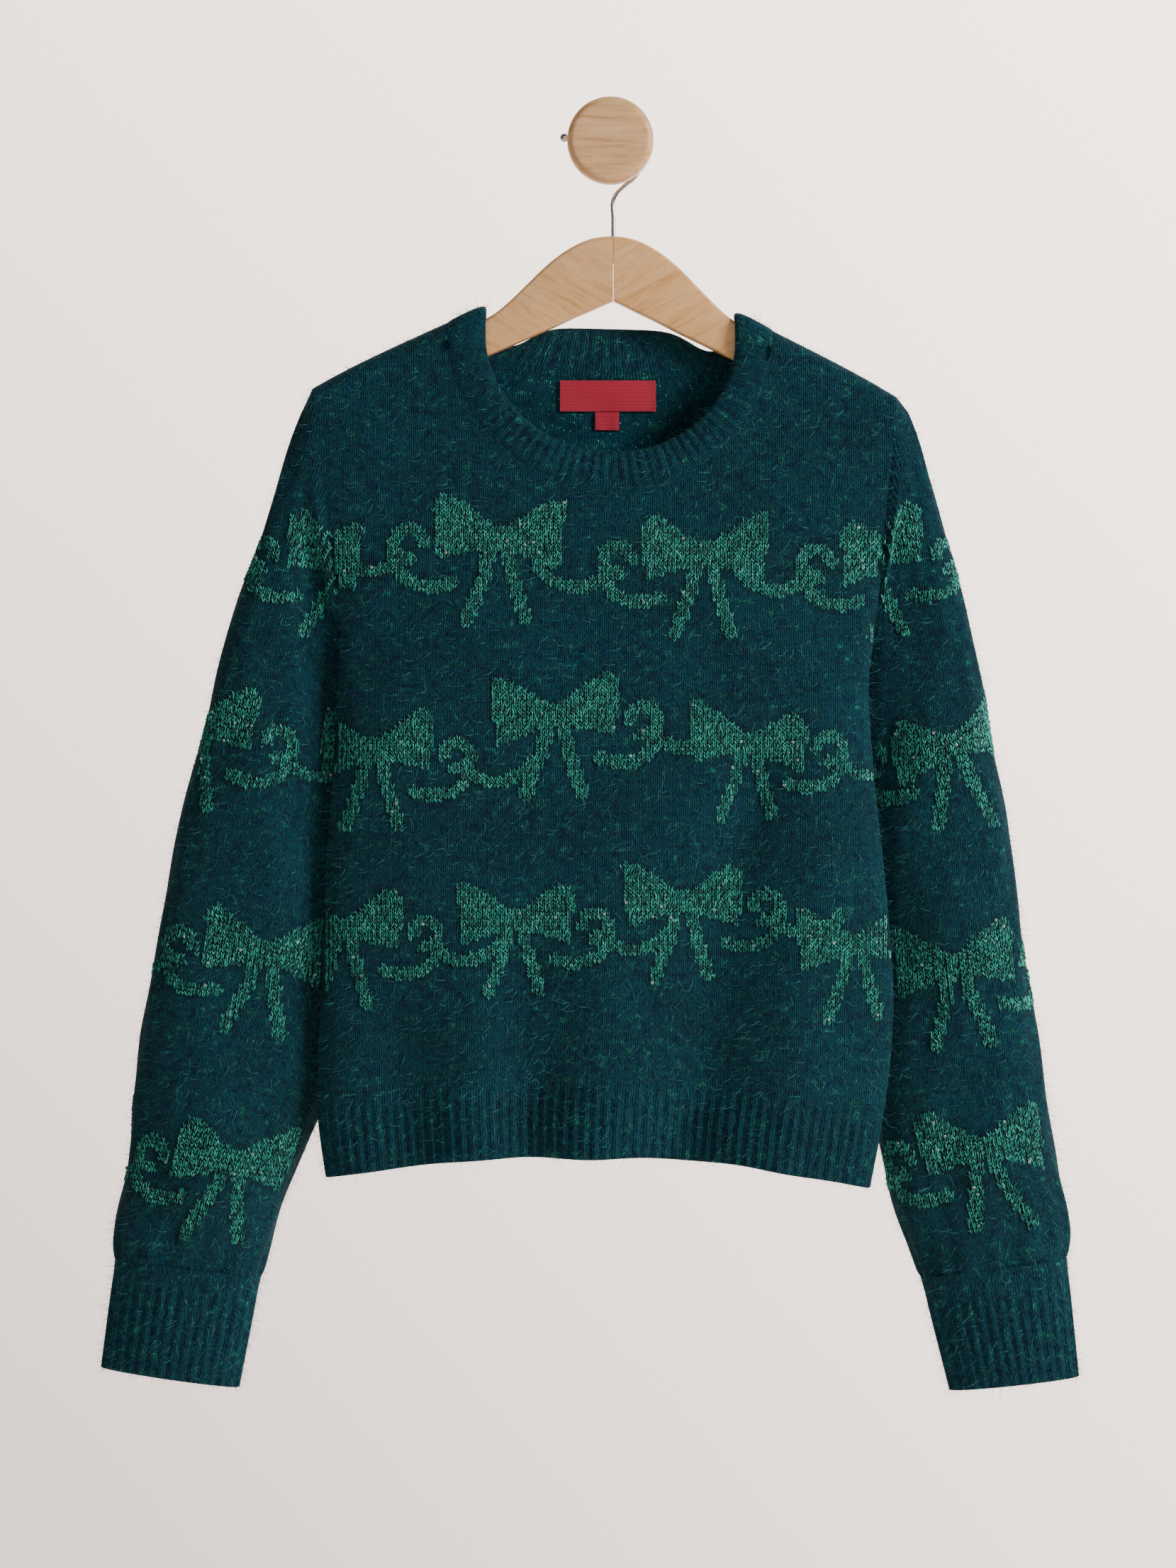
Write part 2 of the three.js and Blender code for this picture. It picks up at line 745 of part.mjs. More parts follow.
function neckStations() {
  const stations = [];
  const addSide = (grid, side, forwards) => {
    const top = grid.outer.length - 1;
    const list = [];
    grid.columns.forEach((column, c) => {
      if (!column.isNeck) {
        return;
      }
      const drop = shoulderHeight(column.x) - column.z;
      const over = Math.abs(Math.abs(column.x) - seamHalf) < 0.01 ? drop : null;
      list.push({
        seam: grid.outer[top][c],
        seamInside: grid.inner[top][c],
        opening: openingPoint(side, { x: column.x, over }),
      });
    });
    if (!forwards) {
      list.reverse();
    }
    stations.push(list);
  };
  addSide(frontGrid, -1, true);
  addSide(backGrid, 1, false);
  return stations;
}

function neckband() {
  const [front, back] = neckStations();
  const overCount = overHanger.length - 1;
  const seamStations = [];
  // Each stretch has its own number of ribs, so that they stay evenly wide
  const stretches = [
    { list: front.slice(overCount, front.length - overCount), ribs: bandRibs.front },
    { list: [...front.slice(-overCount - 1), ...back.slice(0, overCount + 1)], ribs: bandRibs.over },
    { list: back.slice(overCount, back.length - overCount), ribs: bandRibs.back },
    { list: [...back.slice(-overCount - 1), ...front.slice(0, overCount + 1)], ribs: bandRibs.over },
  ];
  for (const { list, ribs } of stretches) {
    const steps = ribs * ribPitchSteps;
    for (let i = 0; i < steps; i += 1) {
      const at = (name) => pointAlong(list.map((station) => station[name]), i / steps);
      seamStations.push({
        seam: at("seam"),
        seamInside: at("seamInside"),
        opening: at("opening"),
      });
    }
  }
  const n = seamStations.length;
  const rowsOut = [[], [], [], []];
  const rowsIn = [[], []];
  seamStations.forEach((station, i) => {
    const next = seamStations[(i + 1) % n];
    const before = seamStations[(i - 1 + n) % n];
    const across = station.opening.clone().sub(station.seam);
    const width = across.length();
    const tangent = next.seam.clone().sub(before.seam);
    tangent.add(next.opening).sub(before.opening);
    const normal = tangent.cross(across).normalize();
    const place = (share, lift) =>
      station.seam.clone().addScaledVector(across, share).addScaledVector(normal, lift);
    const rib = i % ribPitchSteps === 0 ? -ribHeight : ribHeight;
    rowsOut[0].push(place(bandGap / width, 0));
    rowsOut[1].push(place(0.2, bandProud + rib));
    rowsOut[2].push(place(0.82, bandProud + rib));
    rowsOut[3].push(place(1, -0.6));
    if (i % 2 === 0) {
      rowsIn[0].push(station.seamInside.clone().addScaledVector(across, bandInsideGap / width));
      rowsIn[1].push(place(0.95, -wall - 0.2));
    }
  });
  return wallGeometry(rowsOut, rowsIn, true);
}

// Labels follow the inside of the back, a small gap in front of it

function label({ x, topZ, width, height }) {
  const columns = 8;
  const rows = 2;
  const layer = (lift) => {
    const grid = [];
    for (let r = 0; r <= rows; r += 1) {
      const row = [];
      for (let c = 0; c <= columns; c += 1) {
        const px = x + width * (c / columns - 0.5);
        const pz = topZ - (height * r) / rows;
        const point = bodyPoint(1, px, pz);
        const slope = (bodyPoint(1, px, pz + 1).y - bodyPoint(1, px, pz - 1).y) / 2;
        const turn = (bodyPoint(1, px + 1, pz).y - bodyPoint(1, px - 1, pz).y) / 2;
        point.y -= (wall + lift) * Math.hypot(1, slope, turn);
        row.push(point);
      }
      grid.push(row);
    }
    return grid;
  };
  return wallGeometry(layer(labelGap + labelThickness), layer(labelGap), false);
}

// Hanger and peg

function hangerArmGeometry(isLeft) {
  const sign = isLeft ? -1 : 1;
  const rings = hangerArm.map(({ d, top, low, half }) => {
    const x = jointX + sign * d;
    const high = top - tilt * x;
    const bottom = low - tilt * x;
    const c = (hangerChamfer * half) / hangerHalfThickness;
    const soft = c * 0.3;
    const section = [
      [-half, bottom + 1],
      [-half + 1, bottom],
      [half - 1, bottom],
      [half, bottom + 1],
      [half, high - c],
      [half - soft, high - soft * 1.4],
      [half - c, high],
      [c - half, high],
      [soft - half, high - soft * 1.4],
      [-half, high - c],
    ];
    return section.map(([y, z]) => new THREE.Vector3(x, hangerY + y, z));
  });
  const holeLength = shankDepth * 2;
  const hole = new THREE.CylinderGeometry(wireRadius + seamGap, wireRadius + seamGap, holeLength, 12);
  hole.rotateX(Math.PI / 2);
  hole.translate(jointX, hangerY, hangerArm[0].top - shankDepth - seamGap + holeLength / 2);
  return fromManifold(toManifold(loftGeometry(rings)).subtract(toManifold(hole)));
}

// The wire rises from the wood, bends aside, goes over the peg's stem and flares out to a ball
function hookGeometry() {
  const centreZ = stemRadius + seamGap + wireRadius - loopRadius;
  const points = [];
  const add = (x, z) => points.push(new THREE.Vector3(x, hangerY, z));
  add(jointX, hangerArm[0].top - shankDepth);
  add(jointX, hangerArm[0].top);
  add(jointX, (hangerArm[0].top + shankTopZ) / 2);
  add(jointX + 0.3, shankTopZ);
  for (let degrees = loopAngles.start; degrees <= loopAngles.end; degrees += loopAngles.step) {
    const angle = (degrees * Math.PI) / 180;
    add(loopRadius * Math.cos(angle), centreZ + loopRadius * Math.sin(angle));
  }
  const tail = points[points.length - 1];
  const flare = (loopAngles.end * Math.PI) / 180;
  const turnX = tail.x + flareRadius * Math.cos(flare);
  const turnZ = tail.z + flareRadius * Math.sin(flare);
  for (const degrees of flareAngles) {
    const angle = (degrees * Math.PI) / 180;
    add(turnX + flareRadius * Math.cos(angle), turnZ + flareRadius * Math.sin(angle));
  }
  const last = points[points.length - 1];
  add(last.x + flareRun * Math.cos(flare), last.z + flareRun * Math.sin(flare));
  const curve = new THREE.CatmullRomCurve3(points, false, "centripetal");
  const section = new THREE.Shape();
  section.absarc(0, 0, wireRadius, 0, Math.PI * 2, false);
  const wire = new THREE.ExtrudeGeometry(section, {
    steps: 52,
    curveSegments: 4,
    extrudePath: curve,
    bevelEnabled: false,
  });
  const ball = new THREE.SphereGeometry(hookBallRadius, 12, 8);
  const tip = points[points.length - 1];
  ball.translate(tip.x, tip.y, tip.z);
  return fromManifold(toManifold(wire).add(toManifold(ball)));
}

function stemGeometry() {
  return new THREE.LatheGeometry(
    [
      new THREE.Vector2(0, -stemLength),
      new THREE.Vector2(stemRadius, -stemLength),
      new THREE.Vector2(stemRadius, 0),
      new THREE.Vector2(0, 0),
    ],
    28
  );
}

function knobGeometry() {
  const back = -stemLength - seamGap;
  const front = back - knobThickness;
  const profile = [new THREE.Vector2(0, front)];
  for (let i = 0; i <= 3; i += 1) {
    const angle = (Math.PI / 2) * (i / 3);
    const r = knobRadius - knobEdge + knobEdge * Math.sin(angle);
    profile.push(new THREE.Vector2(r, front + knobEdge - knobEdge * Math.cos(angle)));
  }
  for (let i = 0; i <= 2; i += 1) {
    const angle = (Math.PI / 2) * (i / 2);
    const r = knobRadius - (knobEdge / 2) * (1 - Math.cos(angle));
    profile.push(new THREE.Vector2(r, back - knobEdge / 2 + (knobEdge / 2) * Math.sin(angle)));
  }
  profile.push(new THREE.Vector2(0, back));
  return new THREE.LatheGeometry(profile, 36);
}

// Assembly

const part = new THREE.Group();

function add(name, geometry, color, roughness, metalness) {
  const material = new THREE.MeshStandardMaterial({ color, roughness, metalness });
  const mesh = new THREE.Mesh(geometry, material);
  mesh.name = name;
  part.add(mesh);
}

add("front_panel", panel(frontGrid), knitColour, 0.95, 0);
add("back_panel", panel(backGrid), knitColour, 0.95, 0);
add("hem_rib_front", hemRib(-1), knitColour, 0.95, 0);
add("hem_rib_back", hemRib(1), knitColour, 0.95, 0);
add("sleeve_left", sleeve(true), knitColour, 0.95, 0);
add("sleeve_right", sleeve(false), knitColour, 0.95, 0);
add("cuff_left", cuff(true), knitColour, 0.95, 0);
add("cuff_right", cuff(false), knitColour, 0.95, 0);
add("neckband", neckband(), knitColour, 0.95, 0);
add("label_main", label(labelMain), 0xa92a41, 0.4, 0);
add("label_size", label(labelSize), 0xa92a41, 0.4, 0);
add("hanger_arm_left", hangerArmGeometry(true), woodColour, 0.5, 0);
add("hanger_arm_right", hangerArmGeometry(false), woodColour, 0.5, 0);
add("hanger_hook", hookGeometry(), 0xc9c9c9, 0.25, 1);
add("peg_stem", stemGeometry(), woodColour, 0.5, 0);
add("peg_knob", knobGeometry(), woodColour, 0.5, 0);

export default part;
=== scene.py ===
# The looks of a brushed christmas sweater that hangs on a beech hanger from a wall peg.
# Places are worked out in millimetres and turned to metres when a mesh is made.
# +Z is up, +X is to the right, the front looks along -Y, and the wall is the plane y = 0.

import math

import bpy
import numpy as np
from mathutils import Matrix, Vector


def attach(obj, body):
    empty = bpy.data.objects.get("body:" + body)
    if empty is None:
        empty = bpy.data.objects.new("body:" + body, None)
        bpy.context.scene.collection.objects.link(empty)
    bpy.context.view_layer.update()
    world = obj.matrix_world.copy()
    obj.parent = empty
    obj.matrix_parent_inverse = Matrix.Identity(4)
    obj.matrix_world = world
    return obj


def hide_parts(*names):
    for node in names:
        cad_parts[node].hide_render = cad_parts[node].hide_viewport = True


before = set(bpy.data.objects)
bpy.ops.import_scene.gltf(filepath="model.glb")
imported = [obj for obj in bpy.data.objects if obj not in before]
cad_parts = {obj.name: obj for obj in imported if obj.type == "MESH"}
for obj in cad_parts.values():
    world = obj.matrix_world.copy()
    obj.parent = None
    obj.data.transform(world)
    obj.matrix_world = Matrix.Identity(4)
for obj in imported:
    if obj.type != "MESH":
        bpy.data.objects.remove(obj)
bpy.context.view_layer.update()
mm = 0.001
front, back = -1, 1

# Helpers


def smooth(t):
    t = np.clip(t, 0, 1)
    return t * t * (3 - 2 * t)


def mix(a, b, t):
    return a + (b - a) * t


def curveThrough(xs, ys, at):  # a smooth curve through short lists, read at one or many places
    xs, ys = np.asarray(xs, float), np.asarray(ys, float)
    if xs[0] > xs[-1]:
        xs, ys = xs[::-1], ys[::-1]
    before = np.maximum(np.arange(len(xs)) - 1, 0)
    after = np.minimum(np.arange(len(xs)) + 1, len(xs) - 1)
    slopes = (ys[after] - ys[before]) / (xs[after] - xs[before])
    i = np.clip(np.searchsorted(xs, at, side="right") - 1, 0, len(xs) - 2)
    span = xs[i + 1] - xs[i]
    t = np.clip((at - xs[i]) / span, 0, 1)
    bend = span * (t * (1 - t) ** 2 * slopes[i] + t * t * (t - 1) * slopes[i + 1])
    return mix(ys[i], ys[i + 1], smooth(t)) + bend


def evenly(points, count, closed=False):  # even steps of length along a run of points
    run = np.vstack([points, points[:1]]) if closed else np.asarray(points)
    lengths = np.concatenate([[0], np.cumsum(np.linalg.norm(np.diff(run, axis=0), axis=1))])
    steps = np.linspace(0, lengths[-1], count + 1)[: count if closed else count + 1]
    return np.stack([np.interp(steps, lengths, run[:, k]) for k in range(run.shape[1])], 1)


def unit(vectors):
    return vectors / np.maximum(np.linalg.norm(vectors, axis=-1, keepdims=True), 1e-9)


def gridNormals(points, closed, sign):
    if closed:
        across = np.roll(points, -1, 1) - np.roll(points, 1, 1)
    else:
        across = np.gradient(points, axis=1)
    return unit(np.cross(across, np.gradient(points, axis=0))) * sign


def newObject(name, mesh, materials):
    obj = bpy.data.objects.new(name, mesh)
    bpy.context.scene.collection.objects.link(obj)
    for material in materials:
        mesh.materials.append(material)
    mesh.shade_smooth()
    mesh.set_sharp_from_angle(angle=math.radians(55))
    return obj


# A wall of cloth between an outer and an inner grid of points, with its UV map in stitches
def clothShell(name, outer, inner, closed, uv, materials, motif=None):
    rows, cols = outer.shape[:2]
    count = rows * cols
    across = cols if closed else cols - 1
    r, c = (a.ravel() for a in np.meshgrid(np.arange(rows - 1), np.arange(across), indexing="ij"))
    n = (c + 1) % cols
    faceOut = np.stack([r * cols + c, r * cols + n, (r + 1) * cols + n, (r + 1) * cols + c], 1)
    wide = uv.shape[1]
    cornerOut = np.stack([r * wide + c, r * wide + c + 1, (r + 1) * wide + c + 1, (r + 1) * wide + c], 1)
    faces, corners = [faceOut, faceOut[:, ::-1] + count], [cornerOut, cornerOut[:, ::-1]]
    c = np.arange(across)
    n = (c + 1) % cols
    for row, turned in ((0, False), (rows - 1, True)):
        a, b = row * cols + c, row * cols + n
        rim = np.stack([a, a + count, b + count, b], 1)
        rimUv = np.stack([row * wide + c, row * wide + c, row * wide + c + 1, row * wide + c + 1], 1)
        faces.append(rim[:, ::-1] if turned else rim)
        corners.append(rimUv[:, ::-1] if turned else rimUv)
    if not closed:
        r = np.arange(rows - 1)
        for col, turned in ((0, True), (cols - 1, False)):
            a, b = r * cols + col, (r + 1) * cols + col
            side = np.stack([a, a + count, b + count, b], 1)
            sideUv = np.stack([r * wide + col, r * wide + col, (r + 1) * wide + col,
                (r + 1) * wide + col], 1)
            faces.append(side[:, ::-1] if turned else side)
            corners.append(sideUv[:, ::-1] if turned else sideUv)
    isInside = np.concatenate([np.full(len(f), i == 1) for i, f in enumerate(faces)])
    faces, corners = np.vstack(faces), np.vstack(corners)
    points = np.concatenate([outer.reshape(-1, 3), inner.reshape(-1, 3)]) * mm
    a, b, d = (points[faces[:, k]] for k in (0, 1, 2))
    e = points[faces[:, 3]]
    volume = np.sum(np.cross(b, d) * a) + np.sum(np.cross(d, e) * a)
    if volume < 0:
        faces, corners = faces[:, ::-1], corners[:, ::-1]
    mesh = bpy.data.meshes.new(name)
    mesh.from_pydata(points, [], faces)
    layer = mesh.uv_layers.new(name="stitches")
    layer.data.foreach_set("uv", uv.reshape(-1, 2)[corners.ravel()].ravel())
    mesh.polygons.foreach_set("material_index", isInside.astype(np.int32))
    pile = mesh.attributes.new("pile", "FLOAT", "POINT")
    pile.data.foreach_set("value", np.repeat([1.0, 0.0], count).astype(np.float32))
    covered = mesh.attributes.new("motif", "FLOAT", "POINT")
    share = np.zeros(count) if motif is None else motif.ravel()
    covered.data.foreach_set("value", np.concatenate([share, np.zeros(count)]).astype(np.float32))
    mesh.update()
    return newObject(name, mesh, materials)


def linear(hexColour):  # an sRGB hex colour as linear values
    parts = [int(hexColour[i : i + 2], 16) / 255 for i in (1, 3, 5)]
    return [p / 12.92 if p <= 0.04045 else ((p + 0.055) / 1.055) ** 2.4 for p in parts] + [1.0]


def addNode(tree, kind, inputs=None, **settings):  # inputs hold numbers, or the outputs to link
    node = tree.nodes.new(kind)
    for key, value in settings.items():
        setattr(node, key, value)
    for key, value in (inputs or {}).items():
        if isinstance(value, bpy.types.NodeSocket):
            tree.links.new(value, node.inputs[key])
        else:
            node.inputs[key].default_value = value
    return node


def newMaterial(name):
    material = bpy.data.materials.new(name)
    material.use_nodes = True
    material.node_tree.nodes.clear()
    return material, material.node_tree


def setRamp(ramp, stops):
    elements = ramp.color_ramp.elements
    while len(elements) < len(stops):
        elements.new(0.5)
    for element, (place, colour) in zip(elements, stops):
        element.position = place
        element.color = linear(colour)


# Stitches: the gauge of the jersey, in millimetres
gauge = {"wale": 2.9, "course": 2.4}


# Materials

# Brushed mohair and wool blend, knitted plain: dark teal with blue and green fibres, no shine
# but a soft bright edge from the raised pile.
brushedKnit = {
    "deep": "#062630", "main": "#0A3A46", "blue": "#0D3964", "green": "#0E4C40", "pale": "#1B5E66",
    "fibre": 0.5,  # mm across and along; the real fibre is about 0.03 mm and would not show
    "fibreLength": 2.6, "fibreLean": 0.38, "wobble": 1.6, "tuft": 7.0, "shadePatch": 60.0,
    "roughness": 0.95, "sheen": 0.12, "sheenRoughness": 0.5, "sheenTint": "#4F9A9B",
    "stitchRelief": 0.3, "fibreRelief": 0.4,
    "shadeUnderMotif": 0.42,  # the ground is flatter where the motif is knitted, and painted darker there: painted shade in the gaps between the raised stitches
}


def knitMaterial(name, look, isReverse):
    material, tree = newMaterial(name)
    uv = addNode(tree, "ShaderNodeUVMap", uv_map="stitches").outputs[0]
    size = (gauge["wale"], gauge["course"], 1)
    place = addNode(tree, "ShaderNodeVectorMath", {0: uv, 1: size}, operation="MULTIPLY").outputs[0]
    # Fibres lean left and right in turn, as the two legs of a stitch do
    shift = addNode(tree, "ShaderNodeTexNoise",
        {"Vector": place, "Scale": 0.3, "Detail": 2.0}).outputs["Color"]
    reach = (look["wobble"], look["wobble"], 0)
    bent = addNode(
        tree, "ShaderNodeVectorMath", {0: shift, 1: reach, 2: place}, operation="MULTIPLY_ADD"
    ).outputs[0]
    parts = addNode(tree, "ShaderNodeSeparateXYZ", {0: bent})
    wales = addNode(
        tree, "ShaderNodeMath", {0: parts.outputs[0], 1: gauge["wale"]}, operation="DIVIDE"
    ).outputs[0]
    waleShare = addNode(tree, "ShaderNodeMath", {0: wales}, operation="FRACT").outputs[0]
    isRight = addNode(tree, "ShaderNodeMath", {0: waleShare, 1: 0.5}, operation="GREATER_THAN").outputs[0]
    lean = addNode(
        tree, "ShaderNodeMath", {0: isRight, 1: 2 * look["fibreLean"], 2: -look["fibreLean"]},
        operation="MULTIPLY_ADD",
    ).outputs[0]
    across = addNode(
        tree, "ShaderNodeMath", {0: parts.outputs[1], 1: lean, 2: parts.outputs[0]}, operation="MULTIPLY_ADD"
    ).outputs[0]
    leaning = addNode(tree, "ShaderNodeCombineXYZ", {0: across, 1: parts.outputs[1]}).outputs[0]
    stretch = (1 / look["fibre"], 1 / look["fibreLength"], 1)
    along = addNode(tree, "ShaderNodeVectorMath", {0: leaning, 1: stretch}, operation="MULTIPLY").outputs[0]
    fibres = addNode(
        tree, "ShaderNodeTexNoise", {"Vector": along, "Scale": 1.0, "Detail": 2.0, "Roughness": 0.6}
    ).outputs[0]
    tufts = addNode(
        tree, "ShaderNodeTexNoise",
        {"Vector": bent, "Scale": 1 / look["tuft"], "Detail": 6.0, "Roughness": 0.72},
    ).outputs[0]
    patches = addNode(
        tree, "ShaderNodeTexNoise", {"Vector": place, "Scale": 1 / look["shadePatch"], "Detail": 2.0}
    ).outputs[0]
    hue = addNode(tree, "ShaderNodeMath", {0: fibres, 1: 0.22, 2: -0.11},
        operation="MULTIPLY_ADD").outputs[0]
    hue = addNode(tree, "ShaderNodeMath", {0: tufts, 1: 1.0, 2: hue}, operation="MULTIPLY_ADD").outputs[0]
    ramp = addNode(tree, "ShaderNodeValToRGB", {0: hue})
    setRamp(ramp, [
        (0.30, look["blue"]), (0.42, look["deep"]), (0.50, look["main"]),
        (0.57, look["deep"]), (0.63, look["green"]), (0.76, look["pale"]),
    ])
    shade = addNode(
        tree, "ShaderNodeMapRange",
        {"Value": patches, "From Min": 0.3, "From Max": 0.7, "To Min": 0.84, "To Max": 1.14},
    ).outputs[0]
    grain = addNode(
        tree, "ShaderNodeMapRange",
        {"Value": fibres, "From Min": 0.3, "From Max": 0.7, "To Min": 0.25, "To Max": 2.0},
    ).outputs[0]
    strength = addNode(tree, "ShaderNodeMath", {0: shade, 1: grain}, operation="MULTIPLY").outputs[0]
    tuftShade = addNode(
        tree, "ShaderNodeMapRange",
        {"Value": tufts, "From Min": 0.36, "From Max": 0.64, "To Min": 0.7, "To Max": 1.32},
    ).outputs[0]
    strength = addNode(tree, "ShaderNodeMath", {0: strength, 1: tuftShade}, operation="MULTIPLY").outputs[0]
    # Painted shade: the ground colour is darkened where the raised stitches of the motif stand on it
    covered = addNode(tree, "ShaderNodeAttribute", attribute_name="motif").outputs["Fac"]
    ground = addNode(
        tree, "ShaderNodeMapRange", {"Value": covered, "To Min": 1.0, "To Max": look["shadeUnderMotif"]}
    ).outputs[0]
    strength = addNode(tree, "ShaderNodeMath", {0: strength, 1: ground}, operation="MULTIPLY").outputs[0]
    colour = addNode(
        tree, "ShaderNodeVectorMath", {0: ramp.outputs[0], "Scale": strength}, operation="SCALE"
    ).outputs[0]
    # The relief of the stitches: a crown on each leg, lower on the reverse
    legShape = addNode(
        tree, "ShaderNodeMath", {0: waleShare, 1: 4 * math.pi}, operation="MULTIPLY"
    ).outputs[0]
    legShape = addNode(tree, "ShaderNodeMath", {0: legShape}, operation="COSINE").outputs[0]
    relief = addNode(tree, "ShaderNodeBump", {
        "Height": legShape, "Strength": 0.4 if isReverse else 0.8, "Distance": look["stitchRelief"] * mm,
    }).outputs[0]
    relief = addNode(
        tree, "ShaderNodeBump",
        {"Height": fibres, "Strength": 0.9, "Distance": look["fibreRelief"] * mm, "Normal": relief},
    ).outputs[0]
    if isReverse:  # floats of the metallic yarn show here and there on the inside
        spots = addNode(tree, "ShaderNodeTexVoronoi", {"Vector": place, "Scale": 0.75})
        chance = addNode(tree, "ShaderNodeSeparateXYZ", {0: spots.outputs["Color"]}).outputs[0]
        isNear = addNode(
            tree, "ShaderNodeMath", {0: spots.outputs["Distance"], 1: 0.3}, operation="LESS_THAN"
        ).outputs[0]
        isChosen = addNode(tree, "ShaderNodeMath", {0: chance, 1: 0.08}, operation="LESS_THAN").outputs[0]
        isSpot = addNode(tree, "ShaderNodeMath", {0: isNear, 1: isChosen}, operation="MULTIPLY").outputs[0]
        # The floats take the yarn's pale colour, which is painted glint
        colour = addNode(
            tree, "ShaderNodeMix", {0: isSpot, 6: colour, 7: linear(metallicYarn["pale"])}, data_type="RGBA"
        ).outputs[2]
    shader = addNode(tree, "ShaderNodeBsdfPrincipled", {
        "Base Color": colour, "Roughness": look["roughness"], "Normal": relief,
        "Sheen Weight": look["sheen"], "Sheen Roughness": look["sheenRoughness"],
        "Sheen Tint": linear(look["sheenTint"]), "Specular IOR Level": 0.2,
    })
    addNode(tree, "ShaderNodeOutputMaterial", {0: shader.outputs[0]})
    return material


# Flat knitting yarn with a fine metallic thread: bright green; pale is painted glint, which the random tone
# of each stitch reaches now and then
metallicYarn = {
    "deep": "#05423D", "main": "#0A7468", "bright": "#109A85", "pale": "#45BBA4",
    "roughness": 0.45, "metallic": 0.15, "strand": 0.35,
}


def toneMaterial(name, stops, roughness, metallic, sheen, tint):  # each small piece has its own tone
    material, tree = newMaterial(name)
    tone = addNode(tree, "ShaderNodeAttribute", attribute_name="tone").outputs["Fac"]
    place = addNode(tree, "ShaderNodeTexCoord").outputs["Object"]
    strands = addNode(
        tree, "ShaderNodeTexNoise", {"Vector": place, "Scale": 1 / (metallicYarn["strand"] * mm),
            "Detail": 2.0}
    ).outputs[0]
    varied = addNode(tree, "ShaderNodeMath", {0: strands, 1: 0.5, 2: -0.25},
        operation="MULTIPLY_ADD").outputs[0]
    varied = addNode(tree, "ShaderNodeMath", {0: varied, 1: tone}, operation="ADD").outputs[0]
    ramp = addNode(tree, "ShaderNodeValToRGB", {0: varied})
    setRamp(ramp, stops)
    relief = addNode(tree, "ShaderNodeBump", {"Height": strands, "Strength": 0.5,
        "Distance": 0.15 * mm}).outputs[0]
    shader = addNode(tree, "ShaderNodeBsdfPrincipled", {
        "Base Color": ramp.outputs[0], "Roughness": roughness, "Metallic": metallic, "Normal": relief,
        "Sheen Weight": sheen, "Sheen Roughness": 0.5, "Sheen Tint": linear(tint),
    })
    addNode(tree, "ShaderNodeOutputMaterial", {0: shader.outputs[0]})
    return material


# Beech, turned or milled, sanded and oiled: pale warm brown, fine darker growth lines, soft gloss
def beechMaterial(name, pale, main, dark, grainAxis, roughness):
    material, tree = newMaterial(name)
    place = addNode(tree, "ShaderNodeTexCoord").outputs["Object"]
    turned = addNode(tree, "ShaderNodeMapping", {"Vector": place, "Rotation": (0, grainAxis, 0)}).outputs[0]
    growth = addNode(tree, "ShaderNodeVectorMath", {0: turned, 1: (26, 260, 260)},
        operation="MULTIPLY").outputs[0]
    lines = addNode(tree, "ShaderNodeTexNoise",
        {"Vector": growth, "Scale": 1.0, "Detail": 5.0, "Roughness": 0.6})
    pores = addNode(tree, "ShaderNodeVectorMath", {0: turned, 1: (160, 2200, 2200)},
        operation="MULTIPLY").outputs[0]
    flecks = addNode(tree, "ShaderNodeTexNoise", {"Vector": pores, "Scale": 1.0, "Detail": 2.0}).outputs[0]
    ramp = addNode(tree, "ShaderNodeValToRGB", {0: lines.outputs[0]})
    setRamp(ramp, [(0.32, dark), (0.46, main), (0.62, pale)])
    fleck = addNode(
        tree, "ShaderNodeMapRange", {"Value": flecks, "From Min": 0.35, "From Max": 0.5, "To Min": 0.86,
            "To Max": 1.02}
    ).outputs[0]
    colour = addNode(
        tree, "ShaderNodeVectorMath", {0: ramp.outputs[0], "Scale": fleck}, operation="SCALE"
    ).outputs[0]
    relief = addNode(tree, "ShaderNodeBump", {"Height": flecks, "Strength": 0.25,
        "Distance": 0.1 * mm}).outputs[0]
    shader = addNode(tree, "ShaderNodeBsdfPrincipled", {
        "Base Color": colour, "Roughness": roughness, "Normal": relief,
        "Coat Weight": 0.15, "Coat Roughness": 0.3,
    })
    addNode(tree, "ShaderNodeOutputMaterial", {0: shader.outputs[0]})
    return material


# Woven polyester satin ribbon: crimson, fine cross threads, a soft gloss
satinLabel = {"main": "#BF1838", "dark": "#8F122B", "thread": 0.5, "roughness": 0.42}


def satinMaterial(name, look):
    material, tree = newMaterial(name)
    place = addNode(tree, "ShaderNodeTexCoord").outputs["Object"]
    threads = addNode(
        tree, "ShaderNodeTexWave",
        {"Vector": place, "Scale": 0.314 / (look["thread"] * mm) / 2, "Distortion": 0.6, "Detail": 1.0},
        wave_type="BANDS", bands_direction="Z",
    )
    ramp = addNode(tree, "ShaderNodeValToRGB", {0: threads.outputs["Fac"]})
    setRamp(ramp, [(0.1, look["dark"]), (0.75, look["main"])])
    relief = addNode(
        tree, "ShaderNodeBump", {"Height": threads.outputs["Fac"], "Strength": 0.4, "Distance": 0.1 * mm}
    ).outputs[0]
    shader = addNode(tree, "ShaderNodeBsdfPrincipled", {
        "Base Color": ramp.outputs[0], "Roughness": look["roughness"], "Normal": relief,
        "Sheen Weight": 0.3, "Sheen Roughness": 0.3, "Sheen Tint": linear("#F08A9A"),
    })
    addNode(tree, "ShaderNodeOutputMaterial", {0: shader.outputs[0]})
    return material


